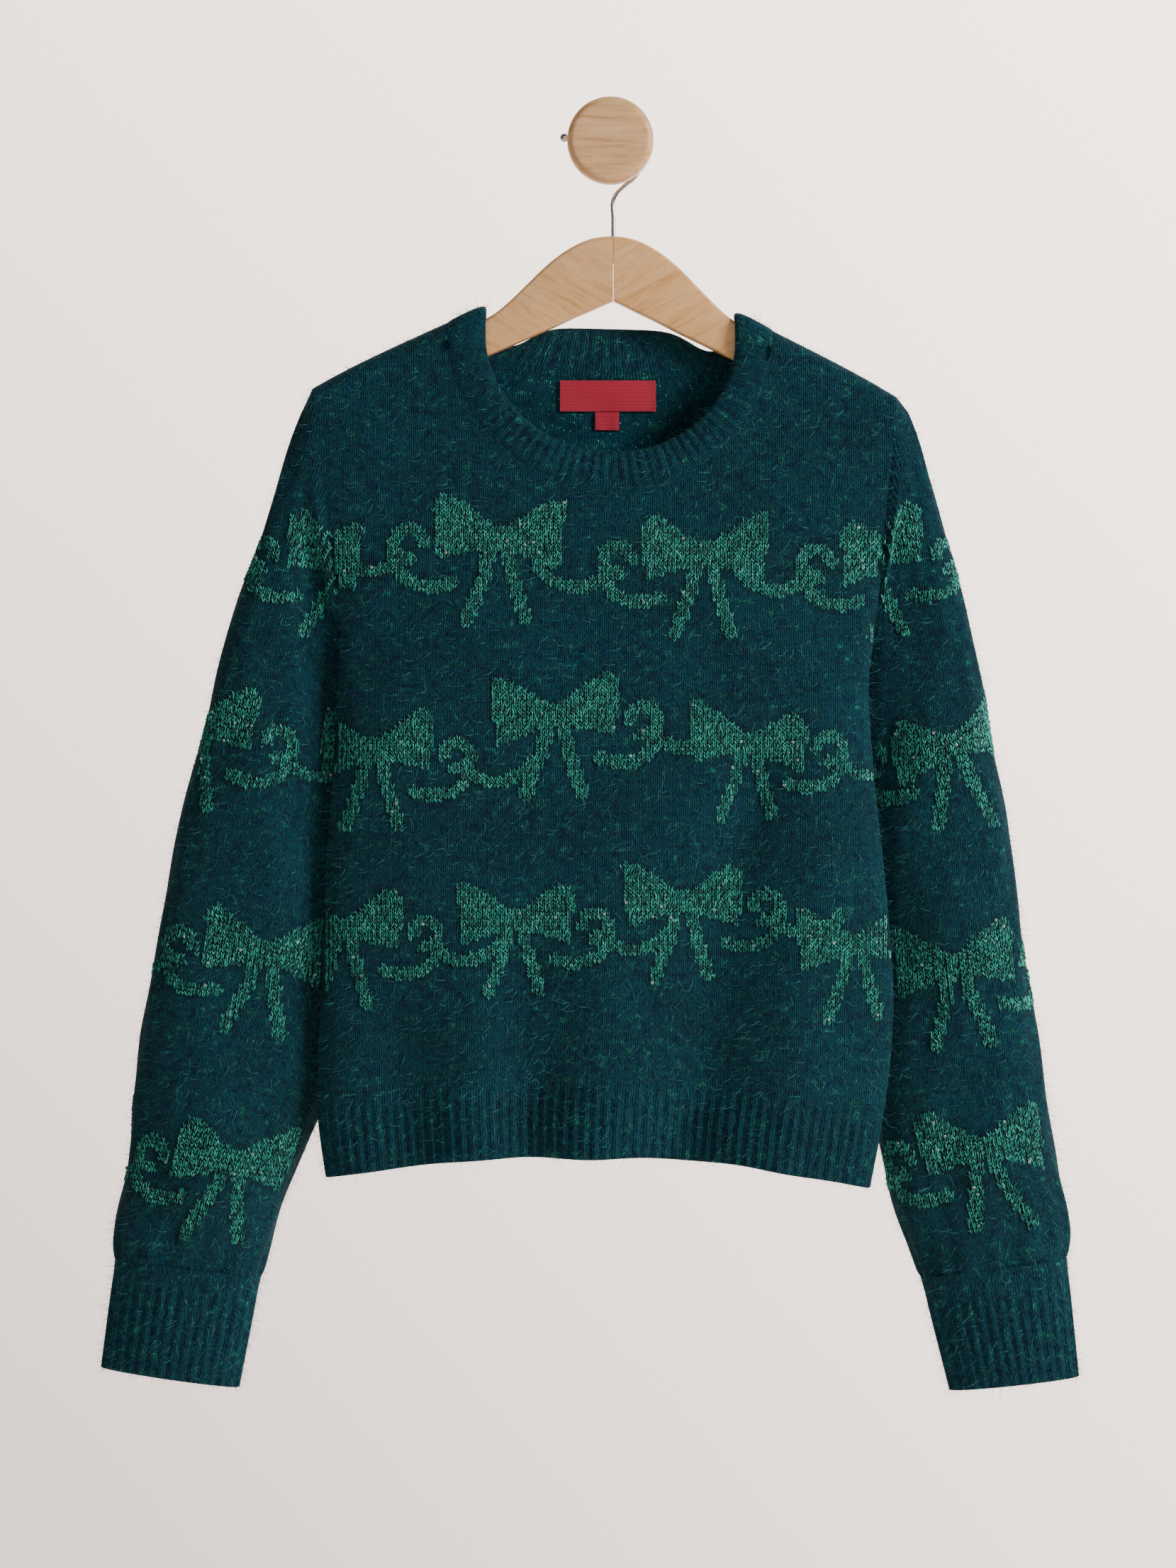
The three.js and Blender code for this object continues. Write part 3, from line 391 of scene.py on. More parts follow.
# Nickel-plated steel wire, drawn and bent: bright, with faint lines along its length
def nickelMaterial(name):
    material, tree = newMaterial(name)
    place = addNode(tree, "ShaderNodeTexCoord").outputs["Object"]
    wear = addNode(tree, "ShaderNodeTexNoise", {"Vector": place, "Scale": 420.0, "Detail": 3.0}).outputs[0]
    rough = addNode(
        tree, "ShaderNodeMapRange", {"Value": wear, "From Min": 0.3, "From Max": 0.7, "To Min": 0.14,
            "To Max": 0.34}
    ).outputs[0]
    shader = addNode(tree, "ShaderNodeBsdfPrincipled", {
        "Base Color": linear("#C4C2BE"), "Metallic": 1.0, "Roughness": rough,
    })
    addNode(tree, "ShaderNodeOutputMaterial", {0: shader.outputs[0]})
    return material


knitFace = knitMaterial("brushedKnitFace", brushedKnit, False)
knitReverse = knitMaterial("brushedKnitReverse", brushedKnit, True)
# The pale top of this ramp is painted glint on the metallic thread
yarnFinish = toneMaterial(
    "metallicYarn",
    [(0.0, metallicYarn["deep"]), (0.35, metallicYarn["main"]), (0.72, metallicYarn["bright"]),
     (0.98, metallicYarn["pale"])],
    metallicYarn["roughness"], metallicYarn["metallic"], 0.05, "#5FD0B8",
)
hairFinish = toneMaterial(
    "looseFibres",
    [(0.0, "#07282F"), (0.35, "#0B3841"), (0.55, "#0E3955"), (0.75, "#104B3E"), (0.9, "#1F6367"),
     (1.0, "#3C8488")],
    0.9, 0.0, 0.12, "#5FA5A5",
)
# Sequins take a random tone from dark teal to near white: painted reflections of the cloth and painted
# glints on the silver rings
sequinFinish = toneMaterial(
    "sequinPaintedGlints", [(0.0, "#2B6F66"), (0.55, "#7FC0B1"), (1.0, "#F1E6EE")], 0.28, 0.5, 0.0, "#FFFFFF"
)
satin = satinMaterial("crimsonSatin", satinLabel)
# One beech in two copies: the right arm's colours are painted a little lighter as painted light from the
# right, the left arm's a little darker as painted shade
beechShadedLeft = beechMaterial("beechHangerShadedLeft", "#EDB87C", "#E7AF71", "#D79C5B", math.radians(-30), 0.42)
beechLitRight = beechMaterial("beechHangerLitRight", "#F2BB7E", "#ECB272", "#DD9E5A", math.radians(30), 0.42)
beechPeg = beechMaterial("beechPeg", "#EEBD86", "#E5B077", "#CA945B", 0, 0.5)
nickel = nickelMaterial("nickelWire")
print("materials made")

# Motif: a garland of bows, curls and swags, rasterised to stitches. Sizes are in millimetres.

bow = {
    "wing": 41, "outerLean": 0.1, "knot": 4, "nearHalf": 8, "farTop": 28, "farBottom": 18,
    "roundCorner": 13, "sharpCorner": 3, "tailHalf": 4.6,
    "tails": (((-5, -5), (-9, -24), (-20, -53)), ((5, -5), (9, -26), (17, -52))),
    # The curl, from its middle: a ring, a sweep under the wing of its own bow and one toward the next bow
    "curlAside": 58, "curlDrop": 4, "ring": 9.2, "ringHalf": 4.3, "swagHalf": 4.2,
    "sweep": ((-9, -4), (-8, -13), (-3, -22), (7, -27), (18, -28), (29, -25)),
    "onward": ((7, -8), (12, -14), (21, -18), (32, -18), (44, -13), (52, -5)),
}


def strokeMask(px, pz, line, half):
    near = np.zeros(px.shape, bool)
    for (x1, z1), (x2, z2) in zip(line[:-1], line[1:]):
        dx, dz = x2 - x1, z2 - z1
        t = np.clip(((px - x1) * dx + (pz - z1) * dz) / (dx * dx + dz * dz), 0, 1)
        near |= np.hypot(px - x1 - t * dx, pz - z1 - t * dz) < half
    return near


def bowMask(px, pz, x, z, tilt, curl, size):
    dx, up = (px - x) / size, (pz - z) / size
    dz = up - tilt * dx
    wing = bow["wing"] + bow["outerLean"] * dz
    far = np.clip((np.abs(dx) - bow["knot"]) / (wing - bow["knot"]), 0, 1)
    corner = np.where(dx * curl > 0, bow["roundCorner"], bow["sharpCorner"])
    cut = corner * np.clip((np.abs(dx) - wing + corner) / corner, 0, 1) ** 2
    top = mix(bow["nearHalf"], bow["farTop"], np.sin(far * math.pi / 2) ** 1.25) - cut
    bottom = mix(bow["nearHalf"], bow["farBottom"], far**1.2)
    mask = (np.abs(dx) < wing) & (dz < top) & (dz > -bottom)
    for tail in bow["tails"]:
        mask |= strokeMask(dx, up, tail, bow["tailHalf"])
    if curl:
        toward, above = -curl * (dx - curl * bow["curlAside"]), up + bow["curlDrop"]
        isOpen = (toward > 0) & (above < -0.35 * toward) & (above > -1.5 * toward)
        mask |= (np.abs(np.hypot(toward, above) - bow["ring"]) < bow["ringHalf"]) & ~isOpen
        mask |= strokeMask(toward, above, bow["sweep"], bow["swagHalf"])
        mask |= strokeMask(-toward, above, bow["onward"], bow["swagHalf"])
    return mask


# Places of the bows: x or way round, height or way down, tilt, the side of the curl, and size
garlands = {
    front: [
        (-207, -280, 0, 0, 1), (-74, -262, -0.1, -1, 1.03), (62, -273, 0, -1, 1), (194, -275, 0.03, -1, 1),
        (-156, -402, 0.1, 1, 0.95), (-36, -379, 0.1, 1, 1), (91, -398, -0.1, 1, 0.92),
        (-176, -520, 0.08, 1, 0.94), (-62, -514, 0.02, 1, 0.9), (48, -502, 0, 1, 0.94),
        (161, -530, 0.05, 0, 0.92),
    ],
    back: [
        (-138, -272, 0.1, 1, 1), (2, -262, -0.06, 1, 1), (138, -276, -0.1, 0, 1),
        (-172, -396, -0.1, 1, 0.93), (-56, -388, 0.08, 1, 0.93), (64, -400, 0, 1, 0.93),
        (182, -404, 0.1, 0, 0.93),
        (-166, -522, 0, 1, 0.88), (-56, -512, 0.05, 1, 0.88), (56, -520, -0.08, 1, 0.88),
        (166, -514, 0.1, 0, 0.88),
    ],
}
sleeveGarlands = {
    "left": [
        (20, 28, -0.2, -1, 0.95),
        (-60, 150, 0.15, 1, 1), (66, 152, 0, 0, 0.95), (-172, 150, 0.05, 0, 0.9),
        (9, 291, -0.02, -1, 1), (-122, 290, 0.05, 0, 0.95), (14, 430, 0, -1, 0.98),
        (-108, 426, 0.05, 0, 0.9),
    ],
    "right": [
        (20, 27, -0.3, -1, 0.95),
        (-22, 156, -0.2, 1, 1), (-146, 156, 0.1, 0, 0.95),
        (-6, 300, -0.04, -1, 1), (-130, 300, 0.1, 0, 0.9), (-10, 422, 0.04, 1, 1),
        (-128, 420, -0.06, 0, 0.9),
    ],
}


def motifMask(px, pz, bows):
    mask = np.zeros(px.shape, bool)
    for placed in bows:
        mask |= bowMask(px, pz, *placed)
    return mask


def softMask(px, pz, bows):  # the share of a small area that the motif covers
    steps = [(a, b) for a in (-1.2, 0, 1.2) for b in (-1.2, 0, 1.2)]
    return np.mean([motifMask(px + a, pz + b, bows) for a, b in steps], axis=0)


# The body's surface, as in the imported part, with finer creases

body = {
    "wall": 2.6, "tilt": 0.026, "hangerY": -27, "sideSeamY": -42, "shoulderRound": 11,
    "seamForwardDrop": 230, "depth": {front: 20, back: 34}, "fullDepthDrop": 290,
    "squareness": {front: 6, back: 2.5}, "armpitZ": -320, "hemCentreZ": -670,
    "hemCornerDrop": 18, "hemRibDepth": 55, "hemHalf": 135, "seamGap": 0.3,
    "edgeZ": [-320, -360, -425, -480, -554, -600, -640, -694],
    "leftEdge": [-179, -180, -184, -188, -191, -193, -194, -187],
    "rightEdge": [176, 171, 175, 181, 187, 186, 181, 171],
    "columns": 120, "lowerRows": 60, "upperRows": 36,
}
shoulder = {"z": -120.5, "slope": 0.478, "left": -198, "right": 190, "leftDroop": 3.5, "rightDroop": 2.6}
neck = {
    "seamHalf": 107, "openingHalf": 83,
    "curveEnd": 84,  # degrees of the curve before it turns over the hanger
    "seam": {front: (-126, 103), back: (-134, 20)},
    "frontOpening": (-127, 78), "backOpening": (-121.5, 67, 13, 19),
    "share": 0.66,
}
# Folds from the waist to the hem: place at the hem, lean, top, depth (a ridge is negative) and width
folds = {
    front: [
        (-135, -0.05, -470, 6, 23), (-92, 0.02, -450, -4.5, 21), (-55, 0, -500, 6, 19),
        (-8, 0.04, -400, -5.5, 26), (50, 0.18, -300, 8.5, 25), (116, 0.12, -360, -5, 23),
    ],
    back: [
        (-120, 0.1, -400, 5, 26), (-60, 0.03, -470, -3, 24), (-5, -0.04, -430, 6, 26),
        (62, 0.05, -500, 4, 22), (125, -0.08, -380, 5, 26),
    ],
}
foldGrowth = 190
# Soft creases: two ends (x, z), depth (a ridge is negative) and width
creases = {
    front: [
        ((-168, -338), (-96, -268), 2.2, 15), ((-172, -352), (-118, -330), 1.8, 12),
        ((168, -342), (104, -286), 2.6, 15), ((166, -372), (96, -352), 2.4, 13),
        ((60, -330), (96, -440), 2.4, 16), ((-150, -420), (-60, -452), -1.2, 18),
        ((-30, -250), (10, -330), -1.1, 24), ((120, -480), (150, -600), 1.8, 14),
        ((-176, -560), (-120, -604), 1.5, 13), ((20, -560), (70, -604), 1.6, 14),
    ],
    back: [
        ((-170, -340), (-90, -270), 2.4, 16), ((168, -340), (92, -262), 2.2, 16),
        ((-60, -210), (50, -222), 1.6, 20), ((-120, -450), (-40, -490), -1.4, 18),
        ((40, -400), (120, -470), 1.6, 16), ((-160, -560), (-100, -596), 1.5, 14),
    ],
}


def shoulderHeight(x):
    reach = np.maximum(np.abs(x), neck["openingHalf"]) - neck["seamHalf"]
    isLeft = np.asarray(x) < 0
    far = np.maximum(reach, 0) / (np.where(isLeft, -shoulder["left"], shoulder["right"]) - neck["seamHalf"])
    droop = np.where(isLeft, shoulder["leftDroop"], shoulder["rightDroop"]) * far**4
    return shoulder["z"] - shoulder["slope"] * reach - droop - body["tilt"] * x


def sideEdge(z, isLeft):
    edges = body["leftEdge" if isLeft else "rightEdge"]
    tip = shoulder["left" if isLeft else "right"]
    lower = curveThrough(body["edgeZ"], edges, z)
    share = np.clip((z - body["armpitZ"]) / (shoulderHeight(tip) - body["armpitZ"]), 0, 1)
    return np.where(z <= body["armpitZ"], lower, mix(edges[0], tip, share))


def softDimples(x, z):  # knitted cloth never hangs quite even
    return 0.45 * (np.sin(x / 9 + 0.03 * z) * np.cos(z / 12 + 1) + 0.7 * np.sin(x / 17 - z / 15))


def creaseDepth(lines, x, z):
    total = np.zeros(np.broadcast(x, z).shape)
    for (x1, z1), (x2, z2), depth, width in lines:
        dx, dz = x2 - x1, z2 - z1
        t = ((x - x1) * dx + (z - z1) * dz) / (dx * dx + dz * dz)
        held = np.clip(t, 0, 1)
        away = np.hypot(x - x1 - held * dx, z - z1 - held * dz)
        total = total + depth * np.exp(-((away / width) ** 2)) * (0.45 + 0.55 * (1 - held))
    return total


def bodyY(side, x, z):
    x, z = np.asarray(x, float), np.asarray(z, float)
    below = np.maximum(shoulderHeight(x) - z, 0)
    r = body["shoulderRound"]
    onRound = np.sqrt(np.maximum(r * r - (r - np.minimum(below, r)) ** 2, 0))
    full = body["depth"][side]
    lower = r + (full - r) * smooth((below - r) / (body["fullDepthDrop"] - r))
    depth = np.where(below < r, onRound, lower)
    tip = np.where(x < 0, shoulder["left"], shoulder["right"])
    tipZ = shoulderHeight(tip)
    closing = np.clip((tipZ - z) / (tipZ - body["armpitZ"]), 0, 1)
    edge = np.where(x < 0, sideEdge(z, True), sideEdge(z, False))
    u = np.minimum(np.abs(x / edge), 1)
    turn = np.sqrt(np.maximum(1 - closing * u ** body["squareness"][side], 0))
    seamY = mix(body["hangerY"], body["sideSeamY"], smooth((tipZ - z) / body["seamForwardDrop"]))
    hang = np.zeros(np.broadcast(x, z).shape)
    for place, lean, topZ, foldDepth, width in folds[side]:
        middle = place + lean * (z - body["hemCentreZ"])
        hang = hang + foldDepth * np.exp(-(((x - middle) / width) ** 2)) * smooth((topZ - z) / foldGrowth)
    inward = -side * (hang + creaseDepth(creases[side], x, z) + softDimples(x, z))
    return seamY + side * (depth * turn + body["seamGap"] / 2) + inward * turn * turn


def onBody(side, x, z):
    return np.stack(np.broadcast_arrays(x, bodyY(side, x, z), z), -1)


def hemBottom(u):
    return body["hemCentreZ"] - body["hemCornerDrop"] * u * u - body["tilt"] * body["hemHalf"] * u


def bodyX(u, z):
    return np.abs(u) * np.where(np.asarray(u) < 0, sideEdge(z, True), sideEdge(z, False))


def overHanger(endDrop, t):  # drop below the shoulder line on the way over the hanger, from its top
    r = body["shoulderRound"]
    onRound = r * (1 - np.cos(np.clip(t / 0.6, 0, 1) * math.pi / 2))
    return np.where(t < 0.6, onRound, r + (endDrop - r) * np.clip((t - 0.6) / 0.4, 0, 1))


def neckLine(side, k, isSeam):  # k runs from -1 to 1 and turns over the hanger beyond 0.7
    sign, k = np.sign(k), np.abs(k)
    angle = np.radians(np.minimum(k / 0.7, 1) * neck["curveEnd"])
    half = neck["seamHalf"] if isSeam else neck["openingHalf"]
    x = sign * half * np.sin(angle)
    if isSeam:
        sideZ, drop = neck["seam"][side]
        z = sideZ - drop * np.cos(angle)
    elif side == front:
        sideZ, drop = neck["frontOpening"]
        z = sideZ - drop * np.cos(angle)
    else:
        sideZ, dipX, dip, width = neck["backOpening"]
        z = sideZ - dip * np.exp(-(((np.abs(x) - dipX) / width) ** 2))
    z = z - body["tilt"] * x
    t = np.clip((1 - k) / 0.3, 0, 1)
    endX = sign * half * math.sin(math.radians(neck["curveEnd"]))
    endZ = (sideZ - (drop * math.cos(math.radians(neck["curveEnd"])) if isSeam or side == front else 0))
    endDrop = shoulderHeight(endX) - (endZ - body["tilt"] * endX)
    overX = sign * mix(half, np.abs(endX), smooth(t))
    over = shoulderHeight(overX) - overHanger(endDrop, t)
    isOver = k > 0.7
    return np.where(isOver, overX, x), np.where(isOver, over, z)


def panelGrid(side):
    a = np.linspace(-1, 1, body["columns"] + 1)
    u = np.sin(a * math.pi / 2)
    share = np.abs(u)
    topX, topZ = neckLine(side, np.sign(u) * np.minimum(share / neck["share"], 1), True)
    f = 1 - np.sqrt((1 - share) / (1 - neck["share"]), where=share > neck["share"], out=np.ones_like(share))
    tip = np.where(u < 0, shoulder["left"], shoulder["right"])
    shoulderX = mix(np.sign(u) * neck["seamHalf"], tip, f)
    isShoulder = share > neck["share"]
    topX = np.where(isShoulder, shoulderX, topX)
    topZ = np.where(isShoulder, shoulderHeight(shoulderX), topZ)
    rows = []
    hemZ = hemBottom(u) + body["hemRibDepth"]
    for r in np.linspace(0, 1, body["lowerRows"] + 1):
        z = mix(hemZ, body["armpitZ"], r)
        rows.append(onBody(side, bodyX(u, z), z))
    for r in np.linspace(0, 1, body["upperRows"] + 1)[1:]:
        held = (1 - math.cos(math.pi * r)) / 2
        rows.append(onBody(side, mix(bodyX(u, body["armpitZ"]), topX, held),
            mix(body["armpitZ"], topZ, held)))
    outer = np.array(rows)
    normals = gridNormals(outer, False, -side)
    for col in (0, -1):
        normals[: body["lowerRows"] + 1, col, 1] = 0
    normals[-1, isShoulder, 1] = 0
    normals[0, :, 2] = 0
    inner = outer - unit(normals) * body["wall"]
    return outer, inner


def bodyMotif(side, points):
    return softMask(points[..., 0], points[..., 2], garlands[side])


def bodyStitches(points):
    return np.stack([points[..., 0] / gauge["wale"], points[..., 2] / gauge["course"]], -1)


grids = {side: panelGrid(side) for side in (front, back)}
panels = {}
for side, name in ((front, "sweater_front"), (back, "sweater_back")):
    outer, inner = grids[side]
    panels[side] = clothShell(
        name, outer, inner, False, bodyStitches(outer), [knitFace, knitReverse],
        bodyMotif(side, outer)
    )
print("panels made")

# Ribbed hem: crests and furrows outside and a softer copy of them inside

hem = {"ribs": 56, "pointsPerRib": 6, "rows": 20, "height": 0.85, "wall": 2.5, "wave": 0.9}


def ribLift(count, points):
    return np.cos(2 * math.pi * np.arange(points) / (points / count))


def roundedEnd(outer, inner, size):  # one more row, so that an edge is round
    away = unit(outer[-1] - outer[-2])
    middle = (outer[-1] + inner[-1]) / 2 + away * size
    return np.concatenate([outer, middle[None]]), np.concatenate([inner, middle[None] - away * 0.02])


def hemPanel(side, name):
    a = np.linspace(-1, 1, 401)
    u = np.sin(a * math.pi / 2)
    rows = []
    steps = hem["ribs"] * hem["pointsPerRib"]
    for drop in np.linspace(0, 1, hem["rows"]):
        z = hemBottom(u) + body["hemRibDepth"] * (1 - drop)
        wave = hem["wave"] * (np.sin(bodyX(u, z) / 24 + side) + 0.6 * np.sin(bodyX(u, z) / 11))
        rows.append(evenly(onBody(side, bodyX(u, z), z + wave * drop * np.cos(u * math.pi / 2)), steps))
    outer = np.array(rows)
    normals = gridNormals(outer, False, side)
    normals[:, (0, -1), 1] = 0
    normals = unit(normals)
    drop = np.linspace(0, 1, hem["rows"])[:, None, None]
    grow = smooth(drop * 2.2) * (1 - 0.2 * drop)
    lift = -ribLift(hem["ribs"], steps + 1)[None, :, None] * hem["height"] * grow
    inner = outer - normals * (hem["wall"] + 0.35 * lift)
    outer = outer + normals * lift
    outer, inner = roundedEnd(outer, inner, 0.8)
    wales = np.broadcast_to(np.linspace(0, steps / 3, steps + 1), outer.shape[:2])
    courses = np.broadcast_to((-np.arange(len(outer)) * 1.2)[:, None], outer.shape[:2])
    return clothShell(name, outer, inner, False, np.stack([wales, courses], -1),
        [knitFace, knitReverse])


hems = {front: hemPanel(front, "hem_front"), back: hemPanel(back, "hem_back")}
print("hem made")

# Sleeves

sleeves = {
    "wall": 2.6, "rows": 112, "transition": 7,
    "tuckIn": 5, "tuckBack": 4,  # the underarm lies behind the body's edge
    "axisSlope": {"left": -0.155, "right": 0.11}, "axisStart": {"left": (-203, -245), "right": (196, -245)},
    "outerZ": [-164, -178, -206, -258, -305, -352, -399, -446, -493, -540, -587, -634, -681, -720, -745],
    "outerLeft": [-198, -205, -215, -231, -248, -261, -272, -285, -294, -302, -311, -316, -321, -329, -328],
    "outerRight": [190, 198, 208, 222, 235, 246, 253, 263, 269, 275, 283, 290, 297, 305, 302],
    "innerZ": [-320, -328, -337, -348, -362, -385, -425, -475, -525, -575, -620, -655, -704, -752],
    "innerLeft": [-179, -181, -180.5, -178.5, -177.5, -178, -179, -181.5, -185, -188, -191, -199, -218,
        -232],
    "innerRight": [176, 177, 175, 171.5, 169, 168.5, 170, 175, 180, 182, 179, 178, 188, 206],
}
# Rings down a sleeve: heights and places of the outer and inner edges, and half the thickness
sleeveRings = [
    {"outerZ": -178, "innerZ": -327, "outerY": -27.5, "innerY": -35, "half": 12},
    {"outerZ": -198, "innerZ": -335, "outerY": -28.5, "innerY": -30.5, "half": 13},
    {"outerZ": -225, "innerZ": -345, "outerY": -30, "innerY": -26.5, "half": 14.5},
    {"outerZ": -258, "innerZ": -359, "outerY": -31.5, "innerY": -23.5, "half": 16.5},
    {"outerZ": -298, "innerZ": -378, "outerY": -33, "innerY": -22.5, "half": 19},
    {"outerZ": -342, "innerZ": -404, "outerY": -34.5, "innerY": -22.5, "half": 21.5},
    {"outerZ": -388, "innerZ": -436, "outerY": -36, "innerY": -22.5, "half": 23.5},
    {"outerZ": -436, "innerZ": -472, "outerY": -36, "innerY": -23, "half": 25},
    {"outerZ": -486, "innerZ": -514, "outerY": -36, "innerY": -23, "half": 25.5},
    {"outerZ": -536, "innerZ": -558, "outerY": -36, "innerY": -23, "half": 26},
    {"outerZ": -586, "innerZ": -606, "outerY": -36, "innerY": -24, "half": 26},
    {"outerZ": -636, "innerZ": -655, "outerY": -35, "innerY": -25, "half": 25.5},
    {"outerZ": -686, "innerZ": -703, "outerY": -35, "innerY": -27, "half": 25},
    {"outerZ": -722, "innerZ": -737, "outerY": -34.5, "innerY": -28, "half": 21.8},
    {"outerZ": -739, "innerZ": -752, "outerY": -34, "innerY": -29, "half": 19.6},
]
# Creases on a sleeve: way down it (mm), degrees round it (90 is the front), depth, length and width, slant
sleeveCreases = {
    "left": [
        (70, 96, 2.6, 60, 15, 0.25), (150, 60, 2.2, 70, 13, -0.3), (205, 118, 2.0, 70, 14, 0.35),
        (290, 75, 2.4, 80, 14, 0.2), (330, 124, 1.8, 70, 12, -0.25), (420, 88, -1.6, 80, 16, 0.2),
        (470, 60, 2.0, 70, 13, 0.3), (520, 110, 2.4, 60, 12, -0.3), (250, 260, 2.4, 90, 16, 0.3),
        (420, 285, 2.2, 80, 14, -0.3), (120, 270, 2.0, 80, 14, 0.2),
    ],
    "right": [
        (80, 80, 2.4, 60, 14, -0.25), (140, 118, 2.6, 70, 14, 0.3), (230, 70, 2.0, 80, 13, -0.3),
        (300, 112, 2.6, 80, 14, -0.2), (365, 78, 1.8, 70, 14, 0.25), (440, 108, 2.2, 70, 13, 0.3),
        (510, 72, 2.2, 60, 12, -0.3), (240, 275, 2.4, 90, 16, -0.3), (400, 255, 2.2, 80, 14, 0.3),
        (110, 285, 2.0, 80, 14, -0.2),
    ],
}
cuffGathers = {"count": 15, "depth": 1.3, "reach": 34}


def ringPoints(outerEdge, innerEdge, half, angles):
    middle, reach = (outerEdge + innerEdge) / 2, (outerEdge - innerEdge) / 2
    across = unit(reach)
    forward = np.array([0.0, -1.0, 0.0])
    forward = unit(forward - across * forward.dot(across))
    return middle + np.cos(angles)[:, None] * reach + half * np.sin(angles)[:, None] * forward


def sleeveEdges(isLeft, place):
    column = "Left" if isLeft else "Right"
    at = {
        key: float(curveThrough(range(len(sleeveRings)), [ring[key] for ring in sleeveRings],
            np.array(place)))
        for key in sleeveRings[0]
    }
    outerX = float(curveThrough(sleeves["outerZ"], sleeves["outer" + column], np.array(at["outerZ"])))
    innerX = float(curveThrough(sleeves["innerZ"], sleeves["inner" + column], np.array(at["innerZ"])))
    outerEdge = np.array([outerX, at["outerY"], at["outerZ"]])
    tuck = smooth(place / 1.5) * smooth((11.5 - place) / 1.5)
    towardMiddle = 1 if isLeft else -1
    innerEdge = np.array([
        innerX + sleeves["tuckIn"] * tuck * towardMiddle, at["innerY"] + sleeves["tuckBack"] * tuck,
        at["innerZ"]
    ])
    return outerEdge, innerEdge, at["half"]


def armholeLoop(layer, isLeft):
    col = 0 if isLeft else -1
    low = body["lowerRows"]
    fronts, backs = grids[front][layer][low:, col], grids[back][layer][low:, col]
    top, bottom = (fronts[-1] + backs[-1]) / 2, (fronts[0] + backs[0]) / 2
    return np.vstack([top[None], fronts[-2:0:-1], bottom[None], backs[1:-1]])


def sleeveGrid(isLeft):
    loop = armholeLoop(0, isLeft)
    count = len(loop)
    angles = np.linspace(0, 2 * math.pi, count, endpoint=False)
    first = ringPoints(*sleeveEdges(isLeft, 0), angles)
    rows = [mix(loop, first, t) for t in np.linspace(0, 1, sleeves["transition"] + 1)[:-1]]
    fine = np.linspace(0, len(sleeveRings) - 1, 200)
    middles = np.array([sum(sleeveEdges(isLeft, p)[:2]) / 2 for p in fine])
    lengths = np.concatenate([[0], np.cumsum(np.linalg.norm(np.diff(middles, axis=0), axis=1))])
    for target in np.linspace(0, lengths[-1], sleeves["rows"]):
        rows.append(ringPoints(*sleeveEdges(isLeft, np.interp(target, lengths, fine)), angles))
    outer = np.array(rows)
    centres = outer.mean(axis=1)
    down = np.concatenate([[0], np.cumsum(np.linalg.norm(np.diff(centres, axis=0), axis=1))])
    girth = np.linalg.norm(np.diff(outer, axis=1, append=outer[:, :1]), axis=2).sum(axis=1)
    degrees = np.degrees(angles)
    offset = np.zeros(outer.shape[:2])
    for place, angle, depth, length, width, slant in sleeveCreases["left" if isLeft else "right"]:
        away = down[:, None] - place
        around = ((degrees[None, :] - angle + 180) % 360 - 180) / 360 * girth[:, None] - slant * away
        offset += depth * np.exp(-((away / length) ** 2) - (around / width) ** 2)
    fromCuff = down[-1] - down
    gathers = np.cos(cuffGathers["count"] * angles + 0.6 * np.sin(3 * angles))
    near = np.exp(-fromCuff / cuffGathers["reach"]) * smooth(fromCuff / 6)
    offset += cuffGathers["depth"] * gathers[None, :] * near[:, None]
    offset += softDimples(degrees[None, :] * 2.3 * np.pi / 3, down[:, None] + (0 if isLeft else 40))
    offset[: sleeves["transition"] + 1] *= np.linspace(0, 1, sleeves["transition"] + 1)[:, None]
    sign = -1 if isLeft else 1
    outer = outer - gridNormals(outer, True, sign) * offset[..., None]
    normals = gridNormals(outer, True, sign)
    inner = outer - normals * sleeves["wall"]
    inner[0] = armholeLoop(1, isLeft)
    low = body["upperRows"]
    for i in (low - 1, low, low + 1):
        inner[0, i] = outer[0, i] - normals[0, i] * sleeves["wall"]
    # The seam of the tube lies at the underarm, where its columns start and end
    outer, inner, normals = (np.roll(layer, -count // 2, axis=1) for layer in (outer, inner, normals))
    # The way down a sleeve runs along its axis, and the way round is measured square to it from the front,
    # so that courses and wales keep their sizes, also near the shoulder
    which = "left" if isLeft else "right"
    axis = unit(np.array([sleeves["axisSlope"][which], 0, -1]))
    startX, startZ = sleeves["axisStart"][which]
    alongAxis = (outer - np.array([startX, 0, startZ])) @ axis
    alongAxis = np.hstack([alongAxis, alongAxis[:, :1]])
    step = np.diff(outer, axis=1, append=outer[:, :1])
    step = step - (step @ axis)[..., None] * axis
    around = np.cumsum(np.linalg.norm(step, axis=2), axis=1)
    around = np.hstack([np.zeros((len(around), 1)), around])
    around = around - around[:, count * 3 // 4, None]
    return {"outer": outer, "inner": inner, "normals": normals, "around": around, "along": alongAxis,
        "axis": axis}


def tubeStitches(grid):
    return np.stack([grid["around"] / gauge["wale"], -grid["along"] / gauge["course"]], -1)


firstRowEnd = {"around": -50, "down": 90}  # the first row of a sleeve stops at its outer edge


def isKnitted(around, down):
    return (around > firstRowEnd["around"]) | (down > firstRowEnd["down"])


def sleeveBows(which):
    return [(place, -down, *rest) for place, down, *rest in sleeveGarlands[which]]


def sleeveMotif(grid, which):
    around, down = grid["around"][:, :-1], grid["along"][:, :-1]
    return softMask(around, -down, sleeveBows(which)) * isKnitted(around, down)


sleeveGrids = {"left": sleeveGrid(True), "right": sleeveGrid(False)}
sleevePieces = {}
for which, grid in sleeveGrids.items():
    sleevePieces[which] = clothShell(
        "sweater_sleeve_" + which, grid["outer"], grid["inner"], True, tubeStitches(grid),
        [knitFace, knitReverse], sleeveMotif(grid, which),
    )
print("sleeves made")

# Cuffs

